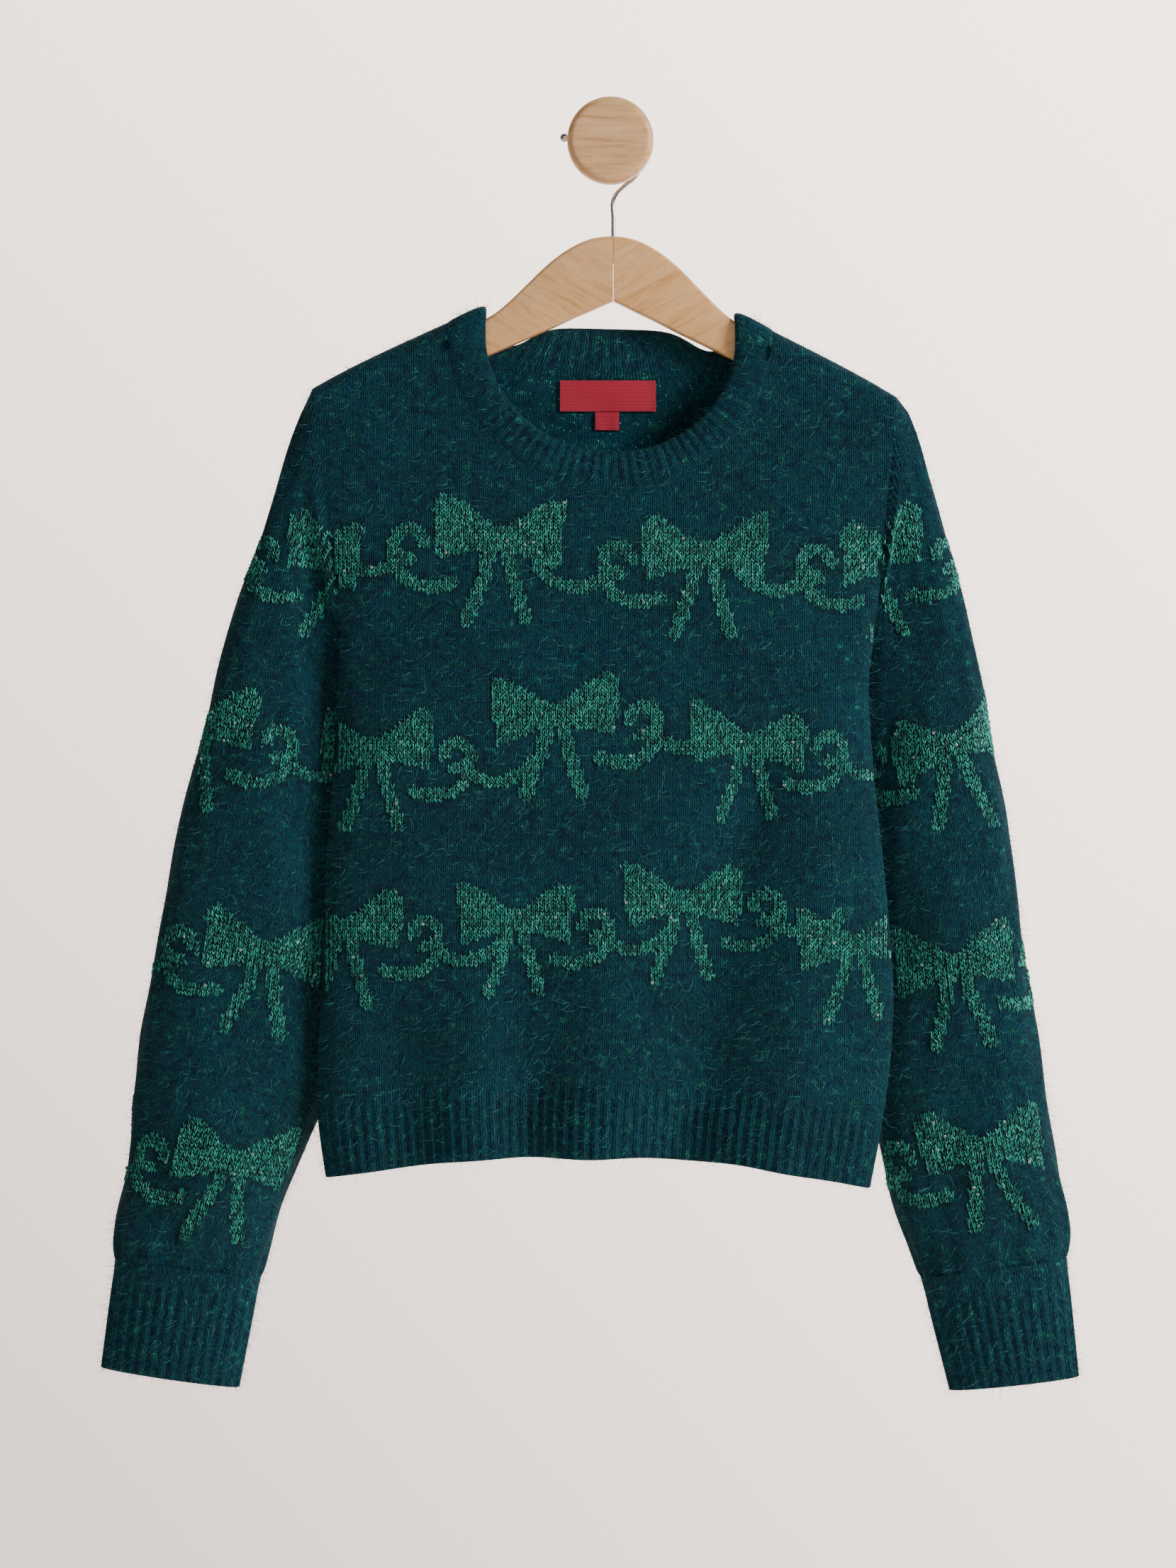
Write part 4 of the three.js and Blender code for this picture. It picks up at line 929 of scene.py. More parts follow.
cuffs = {
    "ribs": 30, "pointsPerRib": 6, "rows": 24, "height": 0.85, "wall": 2.5, "halves": (19.6, 16.8, 15),
    "left": {"outer": (-338, -811), "inner": (-246, -825)},
    "right": {"outer": (311, -817), "inner": (225, -827)},
}


def cuffPiece(which):
    isLeft = which == "left"
    outerEdge, innerEdge, half = sleeveEdges(isLeft, len(sleeveRings) - 1)
    endOuter = np.array([cuffs[which]["outer"][0], outerEdge[1], cuffs[which]["outer"][1]])
    endInner = np.array([cuffs[which]["inner"][0], innerEdge[1], cuffs[which]["inner"][1]])
    angles = np.linspace(0, 2 * math.pi, 360, endpoint=False)
    steps = cuffs["ribs"] * cuffs["pointsPerRib"]
    rows = []
    for drop in np.linspace(0, 1, cuffs["rows"]):
        halfHere = float(curveThrough([0, 0.5, 1], cuffs["halves"], np.array(drop)))
        ring = ringPoints(mix(outerEdge, endOuter, drop), mix(innerEdge, endInner, drop), halfHere, angles)
        rows.append(evenly(ring, steps, True))
    outer = np.array(rows)
    normals = gridNormals(outer, True, -1 if isLeft else 1)
    drop = np.linspace(0, 1, cuffs["rows"])[:, None, None]
    grow = smooth(drop * 2.6) * (1 - 0.2 * drop)
    lift = -ribLift(cuffs["ribs"], steps)[None, :, None] * cuffs["height"] * grow
    inner = outer - normals * (cuffs["wall"] + 0.35 * lift)
    outer = outer + normals * lift
    outer, inner = roundedEnd(outer, inner, 0.8)
    wales = np.broadcast_to(np.linspace(0, steps / 3, steps + 1), (len(outer), steps + 1))
    courses = np.broadcast_to((-np.arange(len(outer)) * 1.35)[:, None], wales.shape)
    return clothShell(
        "cuff_rib_" + which, outer, inner, True, np.stack([wales, courses], -1),
        [knitFace, knitReverse]
    )


cuffPieces = {which: cuffPiece(which) for which in ("left", "right")}
print("cuffs made")

# Neckband: a doubled rib, rolled at the opening

band = {
    "ribs": {"front": 42, "over": 4, "back": 26}, "pointsPerRib": 6, "height": 0.6,
    # Share of the way from the seam to the opening, lift, and how far the ribs show
    "section": [
        (-0.03, 0.15, 0), (0.03, 0.55, 0.1), (0.10, 0.95, 0.4), (0.22, 1.3, 0.8), (0.38, 1.5, 1),
        (0.56, 1.6, 1), (0.73, 1.5, 1), (0.86, 1.1, 0.9), (0.95, 0.3, 0.7), (1.0, -1.1, 0.5),
        (0.985, -2.3, 0.5),
        (0.92, -3.2, 0.6), (0.8, -3.5, 0.6), (0.6, -3.5, 0.6), (0.4, -3.4, 0.6), (0.22, -3.3, 0.4),
        (0.10, -3.1, 0.2), (-0.03, -2.9, 0),
    ],
}


def neckband():
    def run(side, start, stop):
        k = np.linspace(start, stop, 160)
        seamX, seamZ = neckLine(side, k, True)
        openX, openZ = neckLine(side, k, False)
        return np.hstack([onBody(side, seamX, seamZ), onBody(side, openX, openZ)])

    stretches = [
        (run(front, -0.7, 0.7), "front"),
        (np.vstack([run(front, 0.7, 1), run(back, 1, 0.7)[1:]]), "over"),
        (run(back, 0.7, -0.7), "back"),
        (np.vstack([run(back, -0.7, -1), run(front, -1, -0.7)[1:]]), "over"),
    ]
    stations = np.vstack([
        evenly(points, band["ribs"][part] * band["pointsPerRib"])[:-1] for points, part in stretches
    ])
    seam, opening = stations[:, :3], stations[:, 3:]
    across = opening - seam
    middle = (seam + opening) / 2
    tangent = np.roll(middle, -2, 0) - np.roll(middle, 2, 0)
    normal = unit(np.cross(tangent, across))
    count = len(stations)
    ribs = -np.cos(2 * math.pi * np.arange(count) / band["pointsPerRib"]) * band["height"]
    rings = []
    for share, lift, shown in band["section"]:
        sign = 1 if lift > -1.2 else -1
        rings.append(seam + across * share + normal * (lift + sign * ribs * shown)[:, None])
    rings = np.array(rings)
    rows = len(rings)
    mesh = bpy.data.meshes.new("neckband_rib")
    r, c = (a.ravel() for a in np.meshgrid(np.arange(rows), np.arange(count), indexing="ij"))
    nr, nc = (r + 1) % rows, (c + 1) % count
    faces = np.stack([r * count + c, r * count + nc, nr * count + nc, nr * count + c], 1)
    mesh.from_pydata(rings.reshape(-1, 3) * mm, [], faces)
    layer = mesh.uv_layers.new(name="stitches")
    wale, course = c / 3, r * 1.3
    corners = np.stack([
        np.stack([wale, course], 1), np.stack([wale + 1 / 3, course], 1),
        np.stack([wale + 1 / 3, course + 1.3], 1), np.stack([wale, course + 1.3], 1),
    ], 1)
    layer.data.foreach_set("uv", corners.ravel())
    pile = mesh.attributes.new("pile", "FLOAT", "POINT")
    pile.data.foreach_set("value", np.ones(rows * count, np.float32))
    mesh.attributes.new("motif", "FLOAT", "POINT")
    mesh.update()
    a, b, d, e = (rings.reshape(-1, 3)[faces[:, k]] for k in range(4))
    if np.sum(np.cross(b, d) * a) + np.sum(np.cross(d, e) * a) < 0:
        mesh.flip_normals()
    return newObject("neckband_rib", mesh, [knitFace])


neckPiece = neckband()
print("neckband made")

# Sites of the raised stitches, on the lattice of wales and courses


def bodySites(side):
    x, z = np.meshgrid((np.arange(-66, 66) + 0.5) * gauge["wale"],
        (np.arange(-256, -60) + 0.5) * gauge["course"])
    mask = motifMask(x, z, garlands[side])
    x, z = x[mask], z[mask]
    edge = np.abs(np.where(x < 0, sideEdge(z, True), sideEdge(z, False)))
    seamX, seamZ = neckLine(side, np.linspace(-0.7, 0.7, 90), True)
    neckZ = np.where(np.abs(x) < neck["seamHalf"], np.interp(x, seamX, seamZ), shoulderHeight(x))
    u = np.abs(x) / edge
    keep = (u < 0.99) & (z < neckZ - 4) & (z > hemBottom(np.sign(x) * u) + body["hemRibDepth"] + 3)
    x, z = x[keep], z[keep]
    step = 0.6
    y = bodyY(side, x, z)
    slopeX = (bodyY(side, x + step * -np.sign(x), z) - y) / (step * -np.sign(x))
    slopeZ = (y - bodyY(side, x, z - step)) / step
    normal = unit(np.stack([-slopeX, np.ones_like(x), -slopeZ], 1)) * side
    up = unit(np.stack([np.zeros_like(x), slopeZ, np.ones_like(x)], 1))
    return np.stack([x, y, z], 1), normal, up


def sleeveSites(which):
    grid = sleeveGrids[which]
    fine = 5  # steps between two points of the grid
    rows, cols = grid["along"].shape
    r = np.linspace(0, rows - 1, (rows - 1) * fine + 1)
    c = np.linspace(0, cols - 1, (cols - 1) * fine + 1)
    r0, c0 = np.minimum(r.astype(int), rows - 2), np.minimum(c.astype(int), cols - 2)
    fr, fc = (r - r0)[:, None], (c - c0)[None, :]

    def refined(values):
        wide = np.concatenate([values, values[:, :1]], axis=1) if values.shape[1] < cols else values
        a, b = (fr, fc) if wide.ndim == 2 else (fr[..., None], fc[..., None])
        low = mix(wide[r0][:, c0], wide[r0][:, c0 + 1], b)
        return mix(low, mix(wide[r0 + 1][:, c0], wide[r0 + 1][:, c0 + 1], b), a)

    around, along = refined(grid["around"]), refined(grid["along"])
    wale, course = around / gauge["wale"], -along / gauge["course"]
    fromMiddle = np.hypot(wale - np.floor(wale) - 0.5, course - np.floor(course) - 0.5)
    # The point nearest to the middle of each stitch
    order = np.argsort(fromMiddle, axis=None)
    keys = np.stack([np.floor(wale), np.floor(course)], -1).reshape(-1, 2)[order]
    _, first = np.unique(keys, axis=0, return_index=True)
    chosen = order[first]
    chosen = chosen[fromMiddle.ravel()[chosen] < 0.35]
    centres = (np.stack([np.floor(wale), np.floor(course)], -1).reshape(-1, 2)[chosen] + 0.5)
    place, down = centres[:, 0] * gauge["wale"], -centres[:, 1] * gauge["course"]
    mask = motifMask(place, -down, sleeveBows(which)) & isKnitted(place, down)
    chosen = chosen[mask]
    points = refined(grid["outer"]).reshape(-1, 3)[chosen]
    normals = unit(refined(grid["normals"]).reshape(-1, 3)[chosen])
    up = -grid["axis"] + normals * (normals @ grid["axis"])[:, None]
    return points, normals, unit(up)


# Geometry Nodes: one tree for each thing that repeats


def makeTree(name, inputs):
    tree = bpy.data.node_groups.new(name, "GeometryNodeTree")
    tree.interface.new_socket("Geometry", in_out="INPUT", socket_type="NodeSocketGeometry")
    for label, kind in inputs:
        tree.interface.new_socket(label, in_out="INPUT", socket_type=kind)
    tree.interface.new_socket("Geometry", in_out="OUTPUT", socket_type="NodeSocketGeometry")
    return tree, tree.nodes.new("NodeGroupInput"), tree.nodes.new("NodeGroupOutput")


def endTree(tree, groupIn, groupOut, instances):  # own tone for each instance, then a plain mesh
    tone = addNode(
        tree, "FunctionNodeRandomValue", {2: 0.0, 3: 1.0, "Seed": groupIn.outputs["Seed"]}, data_type="FLOAT"
    ).outputs[1]
    toned = addNode(
        tree, "GeometryNodeStoreNamedAttribute", {"Geometry": instances, "Name": "tone", "Value": tone},
        data_type="FLOAT", domain="INSTANCE",
    ).outputs[0]
    real = addNode(tree, "GeometryNodeRealizeInstances", {0: toned}).outputs[0]
    real = addNode(tree, "GeometryNodeSetShadeSmooth", {0: real}).outputs[0]
    done = addNode(
        tree, "GeometryNodeSetMaterial", {"Geometry": real, "Material": groupIn.outputs["Material"]}
    ).outputs[0]
    tree.links.new(done, groupOut.inputs[0])


def sitesObject(name, sites):
    points, normals, ups = sites
    mesh = bpy.data.meshes.new(name)
    mesh.from_pydata(points * mm, [], [])
    for key, values in (("stitchNormal", normals), ("waleWay", ups)):
        attribute = mesh.attributes.new(key, "FLOAT_VECTOR", "POINT")
        attribute.data.foreach_set("vector", values.astype(np.float32).ravel())
    obj = bpy.data.objects.new(name, mesh)
    bpy.context.scene.collection.objects.link(obj)
    return obj


def runTree(source, tree, values, name, keepSource=False):
    modifier = source.modifiers.new("nodes", "NODES")
    modifier.node_group = tree
    for item in tree.interface.items_tree:
        if item.in_out == "INPUT" and item.name in values:
            modifier[item.identifier] = values[item.name]
    bpy.context.view_layer.update()
    shown = source.evaluated_get(bpy.context.evaluated_depsgraph_get())
    mesh = bpy.data.meshes.new_from_object(shown)
    source.modifiers.remove(modifier)
    if not keepSource:
        bpy.data.objects.remove(source)
    mesh.name = name
    obj = bpy.data.objects.new(name, mesh)
    bpy.context.scene.collection.objects.link(obj)
    return obj


def surfaceFrame(tree):
    normal = addNode(tree, "GeometryNodeInputNamedAttribute", {"Name": "stitchNormal"},
        data_type="FLOAT_VECTOR")
    way = addNode(tree, "GeometryNodeInputNamedAttribute", {"Name": "waleWay"}, data_type="FLOAT_VECTOR")
    return addNode(
        tree, "FunctionNodeAxesToRotation", {0: normal.outputs[0], 1: way.outputs[0]},
        primary_axis="Z", secondary_axis="Y",
    ).outputs[0]


# Raised stitches of the motif: each is two leaning legs
stitch = {
    "Leg Length": 3.1 * mm, "Leg Width": 0.95 * mm, "Leg Height": 0.6 * mm, "Leg Apart": 0.72 * mm,
    "Lean": 0.34, "Uneven": 0.3 * mm, "Seed": 7,
}


def stitchTree():
    tree, groupIn, groupOut = makeTree("motifStitches", [
        ("Leg Length", "NodeSocketFloat"), ("Leg Width", "NodeSocketFloat"),
        ("Leg Height", "NodeSocketFloat"),
        ("Leg Apart", "NodeSocketFloat"), ("Lean", "NodeSocketFloat"), ("Uneven", "NodeSocketFloat"),
        ("Seed", "NodeSocketInt"), ("Material", "NodeSocketMaterial"),
    ])
    width, length = groupIn.outputs["Leg Width"], groupIn.outputs["Leg Length"]
    sheet = addNode(
        tree, "GeometryNodeMeshGrid", {"Size X": width, "Size Y": length, "Vertices X": 3, "Vertices Y": 3}
    ).outputs[0]
    place = addNode(tree, "ShaderNodeSeparateXYZ",
        {0: addNode(tree, "GeometryNodeInputPosition").outputs[0]})
    alongShare = addNode(tree, "ShaderNodeMath", {0: place.outputs[1], 1: length},
        operation="DIVIDE").outputs[0]
    alongSquare = addNode(tree, "ShaderNodeMath", {0: alongShare, 1: alongShare},
        operation="MULTIPLY").outputs[0]
    taper = addNode(tree, "ShaderNodeMath", {0: alongSquare, 1: -2.6, 2: 1.0},
        operation="MULTIPLY_ADD").outputs[0]
    acrossShare = addNode(tree, "ShaderNodeMath", {0: place.outputs[0], 1: width},
        operation="DIVIDE").outputs[0]
    acrossSquare = addNode(
        tree, "ShaderNodeMath", {0: acrossShare, 1: acrossShare}, operation="MULTIPLY"
    ).outputs[0]
    crown = addNode(tree, "ShaderNodeMath", {0: acrossSquare, 1: -4.0, 2: 1.0},
        operation="MULTIPLY_ADD").outputs[0]
    crown = addNode(tree, "ShaderNodeMath", {0: crown, 1: taper}, operation="MULTIPLY").outputs[0]
    high = addNode(
        tree, "ShaderNodeMath", {0: crown, 1: groupIn.outputs["Leg Height"], 2: 0.15 * mm},
        operation="MULTIPLY_ADD"
    ).outputs[0]
    wide = addNode(tree, "ShaderNodeMath", {0: place.outputs[0], 1: taper}, operation="MULTIPLY").outputs[0]
    moved = addNode(tree, "ShaderNodeCombineXYZ", {0: wide, 1: place.outputs[1], 2: high}).outputs[0]
    leg = addNode(tree, "GeometryNodeSetPosition", {"Geometry": sheet, "Position": moved}).outputs[0]
    # Each leg of each stitch is placed by itself, a little unevenly, so that no row looks machined
    frameTurn = surfaceFrame(tree)
    legs = addNode(tree, "GeometryNodeJoinGeometry")
    for sign in (-1, 1):
        seed = addNode(
            tree, "ShaderNodeMath", {0: groupIn.outputs["Seed"], 1: 50.0 + 20.0 * sign}, operation="ADD"
        ).outputs[0]
        turn = addNode(
            tree, "FunctionNodeRandomValue",
            {0: (-0.12, -0.1, -0.28), 1: (0.12, 0.1, 0.28), "Seed": seed}, data_type="FLOAT_VECTOR",
        ).outputs[0]
        leaning = addNode(
            tree, "ShaderNodeMath", {0: groupIn.outputs["Lean"], 1: -sign}, operation="MULTIPLY"
        ).outputs[0]
        turn = addNode(tree, "ShaderNodeVectorMath", {
            0: turn, 1: addNode(tree, "ShaderNodeCombineXYZ", {2: leaning}).outputs[0],
        }, operation="ADD").outputs[0]
        turn = addNode(tree, "FunctionNodeEulerToRotation", {0: turn}).outputs[0]
        whole = addNode(
            tree, "FunctionNodeRotateRotation", {0: frameTurn, 1: turn}, rotation_space="LOCAL"
        ).outputs[0]
        size = addNode(
            tree, "FunctionNodeRandomValue", {0: (0.7, 0.75, 0.8), 1: (1.2, 1.2, 1.2), "Seed": seed},
            data_type="FLOAT_VECTOR",
        ).outputs[0]
        placed = addNode(tree, "GeometryNodeInstanceOnPoints", {
            "Points": groupIn.outputs[0], "Instance": leg, "Rotation": whole, "Scale": size,
        }).outputs[0]
        aside = addNode(
            tree, "ShaderNodeMath", {0: groupIn.outputs["Leg Apart"], 1: sign}, operation="MULTIPLY"
        ).outputs[0]
        stray = addNode(
            tree, "FunctionNodeRandomValue", {0: (-1, -1, 0), 1: (1, 1, 0.3), "Seed": seed},
            data_type="FLOAT_VECTOR",
        ).outputs[0]
        stray = addNode(
            tree, "ShaderNodeVectorMath", {0: stray, "Scale": groupIn.outputs["Uneven"]}, operation="SCALE"
        ).outputs[0]
        offset = addNode(tree, "ShaderNodeVectorMath", {
            0: stray, 1: addNode(tree, "ShaderNodeCombineXYZ", {0: aside}).outputs[0],
        }, operation="ADD").outputs[0]
        moved = addNode(
            tree, "GeometryNodeTranslateInstances", {"Instances": placed, "Translation": offset}
        ).outputs[0]
        tree.links.new(moved, legs.inputs[0])
    endTree(tree, groupIn, groupOut, legs.outputs[0])
    return tree


# Ring sequins, sewn here and there on the bows
sequin = {"Ring": 0.72 * mm, "Thickness": 0.27 * mm, "Seed": 11}
sequinShare = 0.022


def sequinTree():
    tree, groupIn, groupOut = makeTree("ringSequins", [
        ("Ring", "NodeSocketFloat"), ("Thickness", "NodeSocketFloat"), ("Seed", "NodeSocketInt"),
        ("Material", "NodeSocketMaterial"),
    ])
    path = addNode(tree, "GeometryNodeCurvePrimitiveCircle",
        {"Resolution": 8, "Radius": groupIn.outputs["Ring"]})
    section = addNode(
        tree, "GeometryNodeCurvePrimitiveCircle", {"Resolution": 4, "Radius": groupIn.outputs["Thickness"]}
    )
    ring = addNode(
        tree, "GeometryNodeCurveToMesh", {0: path.outputs[0], 1: section.outputs[0]}
    ).outputs[0]
    lifted = addNode(
        tree, "GeometryNodeTransform", {"Geometry": ring, "Translation": (0, 0, 1.1 * mm)}
    ).outputs[0]
    tip = addNode(
        tree, "FunctionNodeRandomValue",
        {0: (-0.5, -0.5, 0), 1: (0.5, 0.5, 3), "Seed": groupIn.outputs["Seed"]}, data_type="FLOAT_VECTOR",
    ).outputs[0]
    instances = addNode(tree, "GeometryNodeInstanceOnPoints", {
        "Points": groupIn.outputs[0], "Instance": lifted, "Rotation": surfaceFrame(tree),
    }).outputs[0]
    tipped = addNode(
        tree, "GeometryNodeRotateInstances", {"Instances": instances, "Rotation": tip}
    ).outputs[0]
    endTree(tree, groupIn, groupOut, tipped)
    return tree


motifTree, ringTree = stitchTree(), sequinTree()
stitch["Material"], sequin["Material"] = yarnFinish, sequinFinish
motifPieces, sequinPieces = {}, {}
siteSets = {
    "front": bodySites(front), "back": bodySites(back),
    "sleeve_left": sleeveSites("left"), "sleeve_right": sleeveSites("right"),
}
for seed, (where, sites) in enumerate(siteSets.items()):
    motifPieces[where] = runTree(
        sitesObject("sites", sites), motifTree, dict(stitch, Seed=seed), "bow_stitches_" + where,
    )
    chosen = np.random.default_rng(seed).random(len(sites[0])) < sequinShare
    few = tuple(values[chosen] for values in sites)
    sequinPieces[where] = runTree(
        sitesObject("sites", few), ringTree, dict(sequin, Seed=seed), "sequins_" + where
    )
    print("motif on", where, len(sites[0]), "stitches", int(chosen.sum()), "sequins")

# Loose fibres of the brushed cloth

fuzz = {"Density": 165000.0, "Hair Length": 6.0 * mm, "Hair Width": 0.24 * mm, "Bend": 1.8 * mm}
fuzzShare = {
    "sweater_front": 1, "sweater_back": 0.7, "sweater_sleeve_left": 0.9, "sweater_sleeve_right": 0.9,
    "hem_front": 1.1, "hem_back": 0.8, "cuff_rib_left": 1.2, "cuff_rib_right": 1.2, "neckband_rib": 1.0,
}


def fuzzTree():
    tree, groupIn, groupOut = makeTree("looseFibres", [
        ("Density", "NodeSocketFloat"), ("Hair Length", "NodeSocketFloat"),
        ("Hair Width", "NodeSocketFloat"),
        ("Bend", "NodeSocketFloat"), ("Seed", "NodeSocketInt"), ("Material", "NodeSocketMaterial"),
    ])
    length, width = groupIn.outputs["Hair Length"], groupIn.outputs["Hair Width"]
    pile = addNode(tree, "GeometryNodeInputNamedAttribute", {"Name": "pile"}, data_type="FLOAT").outputs[0]
    density = addNode(
        tree, "ShaderNodeMath", {0: pile, 1: groupIn.outputs["Density"]}, operation="MULTIPLY"
    ).outputs[0]
    covered = addNode(tree, "GeometryNodeInputNamedAttribute", {"Name": "motif"},
        data_type="FLOAT").outputs[0]
    bare = addNode(tree, "ShaderNodeMath", {0: covered, 1: -0.85, 2: 1.0},
        operation="MULTIPLY_ADD").outputs[0]
    density = addNode(tree, "ShaderNodeMath", {0: density, 1: bare}, operation="MULTIPLY").outputs[0]
    spread = addNode(tree, "GeometryNodeDistributePointsOnFaces", {
        "Mesh": groupIn.outputs[0], "Density": density, "Seed": groupIn.outputs["Seed"],
    })
    strip = addNode(
        tree, "GeometryNodeMeshGrid", {"Size X": width, "Size Y": length, "Vertices X": 2, "Vertices Y": 3}
    ).outputs[0]
    place = addNode(tree, "ShaderNodeSeparateXYZ",
        {0: addNode(tree, "GeometryNodeInputPosition").outputs[0]})
    share = addNode(tree, "ShaderNodeMath", {0: place.outputs[1], 1: length}, operation="DIVIDE").outputs[0]
    share = addNode(tree, "ShaderNodeMath", {0: share, 1: 0.5}, operation="ADD").outputs[0]
    thin = addNode(tree, "ShaderNodeMath", {0: share, 1: -0.8, 2: 1.0}, operation="MULTIPLY_ADD").outputs[0]
    across = addNode(tree, "ShaderNodeMath", {0: place.outputs[0], 1: thin}, operation="MULTIPLY").outputs[0]
    square = addNode(tree, "ShaderNodeMath", {0: share, 1: share}, operation="MULTIPLY").outputs[0]
    side = addNode(tree, "ShaderNodeMath", {0: square, 1: groupIn.outputs["Bend"]},
        operation="MULTIPLY").outputs[0]
    across = addNode(tree, "ShaderNodeMath", {0: across, 1: side}, operation="ADD").outputs[0]
    along = addNode(tree, "ShaderNodeMath", {0: share, 1: length}, operation="MULTIPLY").outputs[0]
    moved = addNode(tree, "ShaderNodeCombineXYZ", {0: across, 1: along, 2: side}).outputs[0]
    hair = addNode(tree, "GeometryNodeSetPosition", {"Geometry": strip, "Position": moved}).outputs[0]
    # A hair lifts a little from the cloth and was brushed down, give or take a quarter turn
    downward = addNode(
        tree, "FunctionNodeAxesToRotation", {0: spread.outputs["Normal"], 1: (0, 0, -1)},
        primary_axis="Z", secondary_axis="Y",
    ).outputs[0]
    turn = addNode(
        tree, "FunctionNodeRandomValue",
        {0: (0.05, -0.5, -1.4), 1: (1.15, 0.5, 1.4), "Seed": groupIn.outputs["Seed"]},
        data_type="FLOAT_VECTOR",
    ).outputs[0]
    turn = addNode(tree, "FunctionNodeEulerToRotation", {0: turn}).outputs[0]
    whole = addNode(
        tree, "FunctionNodeRotateRotation", {0: downward, 1: turn}, rotation_space="LOCAL"
    ).outputs[0]
    size = addNode(
        tree, "FunctionNodeRandomValue", {2: 0.45, 3: 1.3, "Seed": groupIn.outputs["Seed"]},
        data_type="FLOAT"
    ).outputs[1]
    instances = addNode(tree, "GeometryNodeInstanceOnPoints", {
        "Points": spread.outputs[0], "Instance": hair, "Rotation": whole, "Scale": size,
    }).outputs[0]
    endTree(tree, groupIn, groupOut, instances)
    return tree


hairTree = fuzzTree()
fuzz["Material"] = hairFinish
cloth = [*panels.values(), *hems.values(), *sleevePieces.values(), *cuffPieces.values(), neckPiece]
fuzzPieces = {}
for seed, piece in enumerate(cloth):
    values = dict(fuzz, Seed=seed, Density=fuzz["Density"] * fuzzShare[piece.name])
    fuzzPieces[piece.name] = runTree(piece, hairTree, values, "fibres_" + piece.name, True)
    print("fibres on", piece.name, len(fuzzPieces[piece.name].data.polygons) // 2)

# Labels: bare woven ribbon; the main label is sewn at its ends

labelMain = {"x": -1.5, "topZ": -156, "width": 64, "height": 20.5, "lift": 0.5, "thickness": 0.6}
labelSize = {"x": -2, "topZ": -177, "width": 16, "height": 12, "lift": 0.5, "thickness": 0.6}


def label(name, sizes):
    cols, rows = 33, 9
    x = sizes["x"] + np.linspace(-0.5, 0.5, cols) * sizes["width"]
    z = sizes["topZ"] - np.linspace(0, 1, rows) * sizes["height"]
    gx, gz = np.meshgrid(x, z)
    wave = 0.25 * np.sin(np.linspace(0, 3 * math.pi, cols))[None, :] * np.linspace(0.3, 1, rows)[:, None]
    layers = []
    for lift in (sizes["lift"] + sizes["thickness"], sizes["lift"]):
        y = bodyY(back, gx, gz) - body["wall"] - 0.5 - lift - wave
        layers.append(np.stack([gx, y, gz], -1))
    uv = np.stack([gx, gz], -1)
    return clothShell(name, layers[0], layers[1], False, uv, [satin, satin])


labels = [label("label_ribbon", labelMain), label("size_tab", labelSize)]
sewing = {"pitch": 2.4, "length": 1.7, "radius": 0.22, "inset": 1.6}


def labelStitches(name, sizes):  # short straight threads along the two ends of the label
    points, normals, ups = [], [], []
    for end in (-1, 1):
        x = sizes["x"] + end * (sizes["width"] / 2 - sewing["inset"])
        for z in np.arange(sizes["topZ"] - 1.5, sizes["topZ"] - sizes["height"] + 1, -sewing["pitch"]):
            y = bodyY(back, x, z) - body["wall"] - 0.5 - sizes["lift"] - sizes["thickness"]
            points.append((x, float(y), z))
            normals.append((0, -1, 0))
            ups.append((0, 0, 1))
    sites = tuple(np.array(v, float) for v in (points, normals, ups))
    values = dict(stitch, Seed=3)
    values.update({
        "Leg Length": sewing["length"] * mm, "Leg Width": sewing["radius"] * 2 * mm,
        "Leg Height": sewing["radius"] * mm, "Leg Apart": 0.0, "Lean": 0.0, "Uneven": 0.0, "Material": satin,
    })
    return runTree(sitesObject("sites", sites), motifTree, values, name)


labelSewing = [labelStitches("label_sewing", labelMain)]
print("labels made")

# Hanger: two milled beech arms with rounded upper edges

hanger = {
    "jointX": 2, "half": 6, "joint": 0.15, "edge": 3.2, "lowEdge": 1.6,
    "d": [0, 7, 15, 24, 34, 45, 58, 70, 80, 90, 105, 140, 172, 177, 180],
    "top": [-61, -61.6, -63.2, -67, -73.2, -82.2, -95.2, -107, -115.2, -121.2, -126.9, -143.7, -159,
        -162.4, -166],
    "low": [-104, -107.2, -111, -115, -119.8, -125, -131, -136.6, -141.2, -145.6, -152, -166, -177.5,
        -177.5, -175],
    "thick": [6, 6, 6, 6, 6, 6, 6, 6, 6, 6, 6, 6, 6, 5.4, 4],
}


